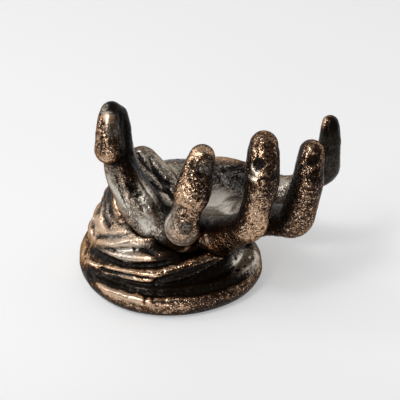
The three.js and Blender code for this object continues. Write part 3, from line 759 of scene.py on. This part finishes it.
DRAPE_STROKES = [
    # dark band between the hem and the second roll
    ([(-46, -19, 12.5), (-41.5, -27, 13), (-32, -34.5, 15), (-19.5, -41, 16), (-9.6, -43.6, 16), (0.3, -43.8, 16), (12.7, -42, 16.5), (26.5, -36, 16.5)], 2.8, -0.75),
    # dark gaps between the folds
    ([(-44, -8.3, 16.4), (-35.3, -20.7, 20.5), (-27.5, -27.8, 21.1), (-18.3, -32.8, 22.4), (-10.9, -34.4, 24), (0.6, -32.6, 25.8)], 3.0, -0.8),
    ([(-9.6, -40.3, 16.8), (-2.8, -40.8, 19.2), (4.6, -39.9, 21.6), (15.2, -37.8, 24.2), (27, -32.8, 25.4)], 2.4, -0.6),
    # bright crest of the second roll and of the hem: bronze rubbed on the crests, raised further as painted highlights
    ([(-46.1, -15.5, 13.5), (-40.3, -21.4, 15.3), (-33.2, -27.7, 17.3), (-22, -35.2, 19.9), (-9.8, -39.6, 20.7)], 1.2, 1.1),
    ([(-41, -22, 13.6), (-37.7, -24.9, 14.7), (-32.8, -29.4, 15.2), (-21.7, -36.4, 17.1), (-9.6, -40.4, 17.9)], 1.2, 1.1),
    ([(-44, -15, 15.6), (-38, -21, 18), (-30, -28, 20), (-20, -34, 22), (-10, -37.5, 22.8)], 2.0, 0.3),
    ([(-39.6, -31.2, 11.4), (-34.7, -36.8, 10.8), (-27, -42.1, 11.2), (-19.5, -45.6, 11), (-12.7, -47.8, 10.6), (-4, -47.4, 12.1)], 2.6, 0.35),
    # black tongues that run down into it, dark line along the second roll and below it
    ([(-11.8, -43.3, 12.8), (-13, -46.0, 12.0), (-13.6, -48.3, 11.2), (-13.5, -48.8, 9.6)], 1.2, -2.2),
    ([(-10.6, -43.3, 12.8), (-9.6, -46.0, 12.0), (-9.0, -48.9, 11.2), (-8.6, -49.3, 10.0)], 1.6, -2.2),
    ([(-37.8, -23.8, 15.4), (-33, -28.6, 16.3), (-21.9, -35.8, 18.5), (-9.7, -40.1, 19.3)], 1.0, -2.0),
    ([(-44, -19.5, 11.4), (-38, -26.5, 12.6), (-32.5, -30.8, 13.2), (-21.5, -37.4, 14.9), (-9.6, -41, 15.8)], 2.2, -0.9),
    ([(-3.2, -39.6, 21.7), (2.3, -38.9, 23.4), (7.8, -38, 25.1), (15.2, -36.2, 27.5), (22.6, -33.8, 28.9)], 1.7, -0.7),
    ([(-2, -36, 25), (4.7, -35.6, 26.3), (9.6, -34.2, 27.6), (15.2, -33, 28.6), (20.5, -31.5, 28.8)], 2.6, 0.5),
    ([(-1, -40.4, 20.2), (4.5, -39, 21.2), (9.9, -37.7, 23), (14.8, -36.4, 23.6), (22, -33.2, 25)], 2.6, -1.0),
    # foot of the hem: painted shade low down next to the table
    ([(-47, -12, 6), (-42.5, -24, 5.5), (-36, -33, 5), (-28, -39.5, 4.5), (-20, -43.5, 4)], 4.0, -1.0),
    ([(-44, -16, 2.5), (-36, -32, 2.5), (-20, -43, 2.5), (0, -48, 2.5), (20, -44, 2.5), (38, -30, 2.5), (46, -12, 2.5)], 4.5, -1.0),
]
# pale iron dabs: x, y, z, radius, change, and for some a direction that it faces; partly bare iron, partly painted
# sheen, highlights and glints
HAND_GREY_AND_SHEEN = [
    # palm floor, ball of the thumb, heel: pale iron, partly a painted sheen
    (26, 0, 36, 21, 1.35), (25, 14, 38, 8, 0.25), (35, 22, 42, 6, -0.4), (10, -4, 40, 12, 0.3), (-10, 22, 57, 13, 0.75), (-5, 5, 49, 8, 0.3), (1, 20, 49, 9, 0.4), (30, 37, 53, 12, 0.25), (-13, 3, 54, 6, 0.35),
    # little finger: a faint painted sheen
    (84, -3, 68, 14, 0.07),
    # web; painted reflection on the left-facing lower edge of the thumb; painted sheen on the left flank of the index
    # finger
    (-6, -22, 42, 9, 0.5), (-11, -22, 50, 7, 0.25), (-30, -16, 64, 8, 0.55, (-0.8, -0.5, -0.2)), (-25, -20, 54, 7, 0.55, (-0.6, -0.7, 0)), (-16, -24, 41, 8, 0.35),
    (-1, -52, 58, 8, 0.55, (-0.9, -0.3, 0.2)), (-1, -50.5, 61, 5, 0.7), (2, -50, 68, 4.5, 0.6), (-3, -5, 48, 5, 0.9), (7.8, -57, 60.6, 3.2, 0.3), (59, 8, 46, 7, 1.0), (61, 16, 51, 6, 0.5), (-8, 22, 57, 12, 0.15), (2, 23, 50, 9, 0.3), (6, -52, 49, 7, 0.35), (-13, -17, 57, 6, 0.4),
    # end of the thumb: painted highlight on the nail, painted reflection below it and painted sheen on the cap; index
    # nail; painted glints on the lip of the middle finger's pit
    (-29, -17, 94, 4, 0.4), (-31, -13.5, 99, 2.6, 0.6), (-34.2, -8, 101, 3.0, 0.5), (17.6, -46.2, 88.6, 3.6, 0.4), (40.3, -49.2, 89.9, 1.5, 1.5), (42.6, -49.9, 88.5, 1.3, 1.5), (40.4, -50.6, 86.0, 2.4, 0.9),
]
# pale iron along lines: black hatch marks on the pale facet at the right, whose pale iron is partly a painted sheen,
# and a painted highlight along the hem's edge
DRAPE_BARE_AND_HIGHLIGHTS = [
    ([(-44, -15, 15.6), (-38, -21, 18), (-30, -28, 20), (-20, -34, 22), (-10, -37.5, 22.8)], 2.8, -1.0),
    ([(34.5, -23.5, 15.2), (36.5, -21, 15), (38.5, -18.5, 14.5), (41.5, -13, 14), (43.5, -6, 13.8)], 4.8, 2.0),
    ([(39.5, -21.5, 13), (43.5, -15.5, 12.3), (46, -8.5, 12.2)], 2.6, 0.7),
    ([(38.8, -15.9, 14.9), (40.2, -17.6, 13.7)], 0.75, -1.9), ([(38.0, -20.4, 14.2), (40.0, -20.3, 13.4)], 0.75, -1.9),
    ([(41.0, -21.0, 12.9), (42.3, -19.5, 12.3)], 0.75, -1.9), ([(43.0, -18.4, 12.0), (44.0, -16.4, 12.0)], 0.75, -1.9),
    ([(44.4, -15.0, 12.3), (45.6, -13.6, 12.2)], 0.75, -1.9), ([(43.2, -10.5, 14.2), (44.8, -9.6, 13.8)], 0.75, -1.9),
    ([(34.4, -24.8, 14.6), (36.0, -24.2, 14.0)], 0.75, -1.9), ([(33.2, -16.2, 17.0), (34.2, -18.0, 16.2)], 0.75, -1.9),
    ([(-36, -35, 11), (-27.5, -41.6, 11.2), (-19.5, -45.6, 11), (-13, -47.6, 10.9), (-7, -48.2, 11)], 1.8, 0.75),
    ([(-11.8, -43.3, 12.8), (-13, -46.0, 12.0), (-13.6, -48.3, 11.2), (-13.5, -48.8, 9.6)], 1.2, -1.8),
    ([(-10.6, -43.3, 12.8), (-9.6, -46.0, 12.0), (-9.0, -48.9, 11.2), (-8.6, -49.3, 10.0)], 1.6, -1.8),
]
# where more or less bronze was rubbed on the drapery; the small dab at (6.3, -28.8, 25.7) is a painted glint
DRAPE_RUB_AND_PAINTED_LIGHT = [
    (-30, -30, 20, 30, 0.10), (-15, -38, 19, 11, 0.40), (38, -20, 16, 14, -0.6), (8, -38, 17, 14, -0.3), (14, -37, 27, 11, 0.0), (6.3, -28.8, 25.7, 3.5, 0.9), (0, -32, 28, 12, -0.5),
    (30, -36, 8, 17, -0.5), (46, -8, 8, 18, -0.55), (-44, -17, 7, 9, -0.5), (-36, -31, 5, 6, -0.3), (-36, 2, 38, 10, -0.7), (-48, -3, 14, 8, 0.6), (-42, -4, 24, 14, 0.7), (-37, -3, 33, 9, 0.2), (47.5, -15, 8.5, 7, 0.35), (-46, 4, 22, 8, 0.3),
]
# pale iron on the drapery: painted highlights on the third and fourth folds where they face the key light, and pale
# iron that is partly a painted sheen at the facet and on the left folds
DRAPE_GREY_AND_HIGHLIGHTS = [
    (35.5, -14, 17, 7, 0.2, (0.3, -0.2, 0.9)), (-27, -23, 27, 12, 0.8, (-0.2, -0.6, 0.7)), (-20, -30, 24, 10, 0.7, (-0.2, -0.6, 0.7)), (-38, -2, 34, 10, 0.2), (-42.5, 5, 29, 6, 0.55), (-38, -4, 29, 11, 0.3),
]


def measures(v, n, e, grain, pit, rub, grey, coarse):
    """Vertex values that the finish reads."""
    fine = ((v - relax(v, e, len(v), 14, 0.6)) * n).sum(1)
    return {
        "fine": np.clip(fine / 0.35, -1, 1),
        "mid": np.clip(mid_field.at(v) / 1.1, -1, 1),
        "wide": np.clip(wide_field.at(v) / 3.2, -1, 1),
        "pit": np.clip(pit, 0, 1),
        "rub": np.clip(rub, -3.0, 1.5),
        "grey": np.clip(grey, 0, 1.5),
        "coarse": np.clip(coarse, 0, 1),
    }


def make_mesh(name, v, q, values):
    me = bpy.data.meshes.new(name)
    me.from_pydata((v * 0.001).tolist(), [], q.tolist())
    me.validate()
    me.polygons.foreach_set("use_smooth", np.ones(len(me.polygons), bool))
    for k, val in values.items():
        a = me.attributes.new(k, "FLOAT", "POINT")
        a.data.foreach_set("value", val.astype(f32))
    me.update()
    o = bpy.data.objects.new(name, me)
    bpy.context.scene.collection.objects.link(o)
    return o


hn = normals(hv2, hq)
dn = normals(dv2, dq)
hand_obj = make_mesh("hand_casting_skin", hv2, hq, measures(
    hv2, hn, he, hg, hp, dabs(hv2, hn, HAND_RUB_AND_PAINTED_LIGHT, -0.76, 0.55 * outward(hv2, hn) + strokes(hv2, HAND_STROKES)), dabs(hv2, hn, HAND_GREY_AND_SHEEN, 0.0, strokes(hv2, HAND_BARE_AND_GLINTS)), hc))
# The drapery takes more bronze on surfaces that face up: painted light from above.
drape_obj = make_mesh("drapery_base_skin", dv2, dq, measures(
    dv2, dn, de, dg, dp, dabs(dv2, dn, DRAPE_RUB_AND_PAINTED_LIGHT, -0.72, 0.48 * dn[:, 2] + strokes(dv2, DRAPE_STROKES)), dabs(dv2, dn, DRAPE_GREY_AND_HIGHLIGHTS, 0.0, strokes(dv2, DRAPE_BARE_AND_HIGHLIGHTS)), dc))


# ------------------------------------------------------------------ felt pad
def felt_mesh():
    rows, verts, faces = [], [], []
    seg = 160
    prof = [(0.0, 2.0)] + [(r, 2.0) for r in (0.25, 0.5, 0.75, 0.9)] + [(0.985, 2.0), (1.0, 1.75), (1.004, 1.2), (1.002, 0.7), (1.0, 0.3), (0.985, 0.0)] \
        + [(r, 0.0) for r in (0.9, 0.75, 0.5, 0.25)] + [(0.0, 0.0)]
    for r, z in prof:
        if r == 0:
            rows.append([len(verts)])
            verts.append((0, 0, z))
        else:
            rows.append(list(range(len(verts), len(verts) + seg)))
            for i in range(seg):
                t = 2 * math.pi * i / seg
                verts.append((41.8 * r * math.cos(t), 37.3 * r * math.sin(t), z))
    for a, b in zip(rows[:-1], rows[1:]):
        for i in range(seg):
            k = (i + 1) % seg
            if len(a) == 1:
                faces.append((a[0], b[i], b[k]))
            elif len(b) == 1:
                faces.append((a[i], b[0], a[k]))
            else:
                faces.append((a[i], b[i], b[k], a[k]))
    v = np.array(verts, float)
    edge = (v[:, 2] > 0.2) & (v[:, 2] < 1.9)
    v[edge, :2] *= (1 + 0.004 * noise(v[edge], 1.5, 91))[:, None]
    me = bpy.data.meshes.new("felt_pad_skin")
    me.from_pydata((v * 0.001).tolist(), [], [f[::-1] for f in faces])
    me.polygons.foreach_set("use_smooth", np.ones(len(me.polygons), bool))
    me.update()
    o = bpy.data.objects.new("felt_pad_skin", me)
    bpy.context.scene.collection.objects.link(o)
    return o


felt_obj = felt_mesh()


# ------------------------------------------------------------------ finishes
class Graph:
    def __init__(s, name):
        s.mat = bpy.data.materials.new(name)
        s.mat.use_nodes = True
        s.t = s.mat.node_tree
        s.t.nodes.clear()
        s.out = s.t.nodes.new("ShaderNodeOutputMaterial")
        s.bsdf = s.t.nodes.new("ShaderNodeBsdfPrincipled")
        s.t.links.new(s.bsdf.outputs[0], s.out.inputs["Surface"])
        tc = s.t.nodes.new("ShaderNodeTexCoord")
        s.co = tc.outputs["Object"]

    def link(s, a, b):
        s.t.links.new(a, b)

    def put(s, socket, v):
        if hasattr(v, "node"):
            s.t.links.new(v, socket)
        else:
            socket.default_value = v

    def attr(s, name):
        n = s.t.nodes.new("ShaderNodeAttribute")
        n.attribute_name = name
        return n.outputs["Fac"]

    def noise(s, scale, detail=4.0, rough=0.6, lac=2.0, warp=0.0, flat=None):
        n = s.t.nodes.new("ShaderNodeTexNoise")
        n.inputs["Scale"].default_value = scale
        n.inputs["Detail"].default_value = detail
        n.inputs["Roughness"].default_value = rough
        n.inputs["Lacunarity"].default_value = lac
        n.inputs["Distortion"].default_value = warp
        co = s.co
        if flat:
            st = s.t.nodes.new("ShaderNodeVectorMath")
            st.operation = "MULTIPLY"
            st.inputs[1].default_value = (1, 1, flat)
            s.t.links.new(co, st.inputs[0])
            co = st.outputs["Vector"]
        s.t.links.new(co, n.inputs["Vector"])
        return n.outputs["Fac"]

    def math(s, op, a, b=0.0, c=None, clamp=False):
        n = s.t.nodes.new("ShaderNodeMath")
        n.operation = op
        n.use_clamp = clamp
        s.put(n.inputs[0], a)
        s.put(n.inputs[1], b)
        if c is not None:
            s.put(n.inputs[2], c)
        return n.outputs[0]

    def ramp(s, v, a, b, lo=0.0, hi=1.0):
        n = s.t.nodes.new("ShaderNodeMapRange")
        n.interpolation_type = "SMOOTHSTEP"
        s.put(n.inputs["Value"], v)
        n.inputs["From Min"].default_value = a
        n.inputs["From Max"].default_value = b
        n.inputs["To Min"].default_value = lo
        n.inputs["To Max"].default_value = hi
        return n.outputs["Result"]

    def mix(s, f, a, b):
        n = s.t.nodes.new("ShaderNodeMix")
        n.data_type = "RGBA"
        s.put(n.inputs[0], f)
        s.put(n.inputs[6], a)
        s.put(n.inputs[7], b)
        return n.outputs[2]

    def bump(s, height, strength, dist, normal=None):
        n = s.t.nodes.new("ShaderNodeBump")
        n.inputs["Strength"].default_value = strength
        n.inputs["Distance"].default_value = dist
        s.link(height, n.inputs["Height"])
        if normal is not None:
            s.link(normal, n.inputs["Normal"])
        return n.outputs["Normal"]


def bronzed_iron(name, crest, streak):
    """Black cast iron with bronze rubbed over its bulges, and pale iron in the palm and along some edges that is partly
    bare iron and partly painted sheen, highlights and glints.
    """
    g = Graph(name)
    fine, mid, wide, pit, rub, grey, coarse = [g.attr(k) for k in ("fine", "mid", "wide", "pit", "rub", "grey", "coarse")]
    n1 = g.noise(1300, 2.0, 0.6, warp=0.6)
    n2 = g.noise(640, 2.0, 0.55, warp=0.4)
    n3 = g.noise(70, 3.0, 0.55)
    n4 = g.noise(330, 2.0, 0.55, warp=1.0)
    c1, c2, c3, c4 = [g.math("SUBTRACT", k, 0.5) for k in (n1, n2, n3, n4)]
    # thin dark wrinkles where black stayed in the grain
    wrinkle = g.math("MAXIMUM", g.ramp(g.math("ABSOLUTE", c4), 0.008, 0.05, 1.0, 0.0), g.ramp(g.math("ABSOLUTE", c2), 0.0, 0.055, 1.0, 0.0))
    m = g.math("MULTIPLY_ADD", mid, crest, rub)
    m = g.math("MULTIPLY_ADD", wide, 0.25, m)
    m = g.math("MULTIPLY_ADD", fine, 0.55, m)
    m = g.math("MULTIPLY_ADD", c1, g.math("MULTIPLY_ADD", coarse, 3.4, 1.6), m)
    m = g.math("MULTIPLY_ADD", c2, g.math("MULTIPLY_ADD", coarse, 1.0, 0.8), m)
    m = g.math("MULTIPLY_ADD", c3, 2.2, m)
    m = g.math("MULTIPLY_ADD", c4, 1.4, m)
    if streak:
        m = g.math("MULTIPLY_ADD", g.math("SUBTRACT", g.noise(120, 2.0, 0.55, warp=0.3, flat=7.0), 0.5), streak, m)
    m = g.math("MULTIPLY_ADD", pit, -0.9, m)
    m = g.math("MULTIPLY_ADD", g.math("MULTIPLY", wrinkle, g.math("MULTIPLY_ADD", coarse, 0.9, 0.1)), -0.75, m)
    cover = g.ramp(m, -1.0, 0.0)
    tone = g.ramp(m, -0.30, 1.02)
    bronze = g.mix(tone, (0.070, 0.032, 0.014, 1), (0.62, 0.400, 0.250, 1))
    # pale flecks in the brighter bronze: painted glints
    bronze = g.mix(g.math("MULTIPLY", g.ramp(n1, 0.55, 0.70), tone), bronze, (0.90, 0.74, 0.58, 1))
    # where grey is laid the bronze pales too and pale iron shows: partly bare iron, partly painted sheen, highlights
    # and glints
    bronze = g.mix(g.math("MULTIPLY", grey, 0.6, clamp=True), bronze, (0.58, 0.53, 0.46, 1))
    w = g.math("MULTIPLY_ADD", mid, 0.40, grey)
    rasp = g.math("MULTIPLY_ADD", coarse, 1.6, 0.25)
    w = g.math("MULTIPLY_ADD", c1, rasp, w)
    w = g.math("MULTIPLY_ADD", c2, rasp, w)
    w = g.math("MULTIPLY_ADD", c3, 0.8, w)
    w = g.math("MULTIPLY_ADD", fine, 0.35, w)
    w = g.math("MULTIPLY_ADD", pit, -0.8, w)
    bare_and_sheen = g.math("MULTIPLY", g.ramp(w, 0.0, 0.9), g.ramp(grey, 0.0, 0.25))
    iron = g.mix(g.ramp(g.math("MULTIPLY", g.math("MULTIPLY_ADD", wrinkle, -0.12, g.math("MULTIPLY_ADD", c2, 0.7, c1)), rasp), -0.10, 0.10), (0.14, 0.105, 0.075, 1), (0.56, 0.51, 0.45, 1))
    iron = g.mix(g.ramp(grey, 0.8, 1.4), iron, (0.74, 0.69, 0.61, 1))
    col = g.mix(bare_and_sheen, (0.0055, 0.0034, 0.0020, 1), iron)
    col = g.mix(cover, col, bronze)
    g.link(col, g.bsdf.inputs["Base Color"])
    g.link(g.math("MAXIMUM", cover, bare_and_sheen), g.bsdf.inputs["Metallic"])
    g.bsdf.inputs["Specular IOR Level"].default_value = 0.04
    g.bsdf.inputs["Specular Tint"].default_value = (0.28, 0.20, 0.14, 1)
    g.link(g.ramp(g.math("MAXIMUM", cover, bare_and_sheen), 0.0, 0.8, 0.20, 0.10), g.bsdf.inputs["Coat Weight"])
    g.bsdf.inputs["Coat Roughness"].default_value = 0.12
    g.bsdf.inputs["Coat Tint"].default_value = (1.0, 0.96, 0.91, 1)
    rough = g.math("MULTIPLY_ADD", c2, 0.3, 0.14)
    rough = g.math("MULTIPLY_ADD", bare_and_sheen, 0.18, rough)
    rough = g.math("MULTIPLY_ADD", pit, 0.2, rough)
    g.link(rough, g.bsdf.inputs["Roughness"])
    amp = g.math("MULTIPLY", g.math("MULTIPLY_ADD", coarse, 0.9, 0.10), g.math("MULTIPLY_ADD", bare_and_sheen, -0.3, 1.0))
    n5 = g.noise(1250, 0.0, 0.5, warp=0.5)
    n6 = g.noise(460, 1.0, 0.45, warp=0.8)
    b = g.bump(g.math("MULTIPLY", n5, amp), 1.0, 0.00024)
    b = g.bump(g.math("MULTIPLY", n6, amp), 1.0, 0.00062, b)
    g.link(b, g.bsdf.inputs["Normal"])
    g.link(b, g.bsdf.inputs["Coat Normal"])
    return g.mat


def felt(name):
    g = Graph(name)
    n1 = g.noise(2200, 3.0, 0.7, warp=0.6)
    n2 = g.noise(180, 4.0, 0.6)
    col = g.mix(g.ramp(n1, 0.3, 0.7), (0.008, 0.008, 0.0085, 1), (0.030, 0.030, 0.032, 1))
    col = g.mix(g.ramp(n2, 0.3, 0.75), col, (0.022, 0.022, 0.024, 1))
    g.link(col, g.bsdf.inputs["Base Color"])
    g.bsdf.inputs["Roughness"].default_value = 0.95
    g.bsdf.inputs["Sheen Weight"].default_value = 0.35
    g.bsdf.inputs["Specular IOR Level"].default_value = 0.15
    g.link(g.bump(n1, 0.7, 0.0004), g.bsdf.inputs["Normal"])
    return g.mat


def steel(name, light):
    g = Graph(name)
    n1 = g.noise(700, 4.0, 0.6)
    n2 = g.noise(3000, 2.0, 0.5)
    col = g.mix(n1, tuple(0.8 * c for c in light[:3]) + (1,), light)
    g.link(col, g.bsdf.inputs["Base Color"])
    g.bsdf.inputs["Metallic"].default_value = 1.0
    g.link(g.ramp(n1, 0.2, 0.8, 0.24, 0.42), g.bsdf.inputs["Roughness"])
    g.link(g.bump(n2, 0.15, 0.0002), g.bsdf.inputs["Normal"])
    return g.mat


def dress(o, mat):
    o.data.materials.clear()
    o.data.materials.append(mat)


dress(hand_obj, bronzed_iron("bronzed_iron_hand", 0.6, 0.0))
dress(drape_obj, bronzed_iron("bronzed_iron_drapery", 1.1, 1.5))
dress(felt_obj, felt("black_felt"))
for n, c in (("fixing_screw", (0.55, 0.56, 0.57, 1)), ("spring_washer", (0.38, 0.385, 0.39, 1)), ("flat_washer", (0.6, 0.61, 0.62, 1))):
    dress(nodes[n], steel("zinc_" + n, c))

for o, n, s in ((hand_obj, "hand_casting", "hand_iron"), (drape_obj, "drapery_base", "drapery_iron"), (felt_obj, "felt_pad", "felt")):
    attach(o, "root")
    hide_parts(n)


# ------------------------------------------------------------------ floor, light, camera
fl = bpy.data.meshes.new("floor")
fl.from_pydata([(-6, -6, 0), (6, -6, 0), (6, 6, 0), (-6, 6, 0)], [], [(0, 1, 2, 3)])
floor = bpy.data.objects.new("floor", fl)
bpy.context.scene.collection.objects.link(floor)
g = Graph("pale_floor")
sep = g.t.nodes.new("ShaderNodeSeparateXYZ")
g.link(g.co, sep.inputs[0])
# the floor glows with emission, a painted fill light, and is darker towards the front: a painted shade that the
# object's lower faces reflect
near = g.ramp(sep.outputs["Y"], -0.30, -0.05)
g.link(g.mix(near, (0.44, 0.44, 0.444, 1), (0.67, 0.67, 0.674, 1)), g.bsdf.inputs["Base Color"])
g.bsdf.inputs["Roughness"].default_value = 0.7
g.bsdf.inputs["Specular IOR Level"].default_value = 0.2
g.link(g.mix(near, (0.64, 0.64, 0.64, 1), (1, 1, 1, 1)), g.bsdf.inputs["Emission Color"])
g.bsdf.inputs["Emission Strength"].default_value = 0.338
dress(floor, g.mat)


def area(name, at, aim, size, power, color=(1, 1, 1)):
    li = bpy.data.lights.new(name, "AREA")
    li.shape = "RECTANGLE"
    li.size, li.size_y = size
    li.energy = power
    li.color = color
    o = bpy.data.objects.new(name, li)
    o.location = at
    o.rotation_euler = (Vector(aim) - Vector(at)).to_track_quat("-Z", "Y").to_euler()
    bpy.context.scene.collection.objects.link(o)
    return o


area("key", (-0.88, -0.92, 1.80), (0, 0, 0.04), (1.2, 0.9), 9.5)
area("key_core", (-0.82, -0.86, 1.68), (0, 0, 0.04), (0.36, 0.30), 6.5)
area("panel", (-0.70, -1.03, 0.80), (0, 0, 0.05), (0.42, 0.66), 3.6)
area("strip", (-1.25, 0.10, 0.80), (0, 0, 0.03), (0.28, 0.90), 3.2)
area("panel_low", (-0.32, -1.20, 0.16), (0, 0, 0.06), (0.60, 0.22), 1.8)

# the studio round the table: pale above, behind and to the left, dark on the camera's side
world = bpy.data.worlds.new("studio")
world.use_nodes = True
t = world.node_tree
t.nodes.clear()
out = t.nodes.new("ShaderNodeOutputWorld")
bg = t.nodes.new("ShaderNodeBackground")
tc = t.nodes.new("ShaderNodeTexCoord")
dot = t.nodes.new("ShaderNodeVectorMath")
dot.operation = "DOT_PRODUCT"
dot.inputs[1].default_value = (-0.06, 0.82, 0.57)
t.links.new(tc.outputs["Generated"], dot.inputs[0])
mr = t.nodes.new("ShaderNodeMapRange")
mr.interpolation_type = "SMOOTHSTEP"
mr.inputs["From Min"].default_value = -0.10
mr.inputs["From Max"].default_value = 0.45
mr.inputs["To Min"].default_value = 0.12
mr.inputs["To Max"].default_value = 1.0
t.links.new(dot.outputs["Value"], mr.inputs["Value"])
bg.inputs["Color"].default_value = (1, 1, 1, 1)
sep = t.nodes.new("ShaderNodeSeparateXYZ")
t.links.new(tc.outputs["Generated"], sep.inputs[0])
high = t.nodes.new("ShaderNodeMapRange")
high.interpolation_type = "SMOOTHSTEP"
high.inputs["From Min"].default_value = 0.30
high.inputs["From Max"].default_value = 0.90
high.inputs["To Min"].default_value = 1.0
high.inputs["To Max"].default_value = 0.38
t.links.new(sep.outputs["Z"], high.inputs["Value"])
mul = t.nodes.new("ShaderNodeMath")
mul.operation = "MULTIPLY"
t.links.new(mr.outputs["Result"], mul.inputs[0])
t.links.new(high.outputs["Result"], mul.inputs[1])
t.links.new(mul.outputs[0], bg.inputs["Strength"])
t.links.new(bg.outputs[0], out.inputs["Surface"])
bpy.context.scene.world = world
bpy.context.scene.view_settings.view_transform = "Standard"

ELEV, DIST, FPX = math.radians(31.0), 0.620, 1.87 * 620.0
TARGET = Vector((0.015, 0.0, 0.0425))
cam = bpy.data.cameras.new("camera")
cam.sensor_width = 36.0
cam.lens = 36.0 * FPX / 400.0
cam.clip_start = 0.01
cam_obj = bpy.data.objects.new("camera", cam)
back = Vector((0, -math.cos(ELEV), math.sin(ELEV)))
cam_obj.location = TARGET + back * DIST
cam_obj.rotation_euler = (-back).to_track_quat("-Z", "Y").to_euler()
bpy.context.scene.collection.objects.link(cam_obj)
bpy.context.scene.camera = cam_obj
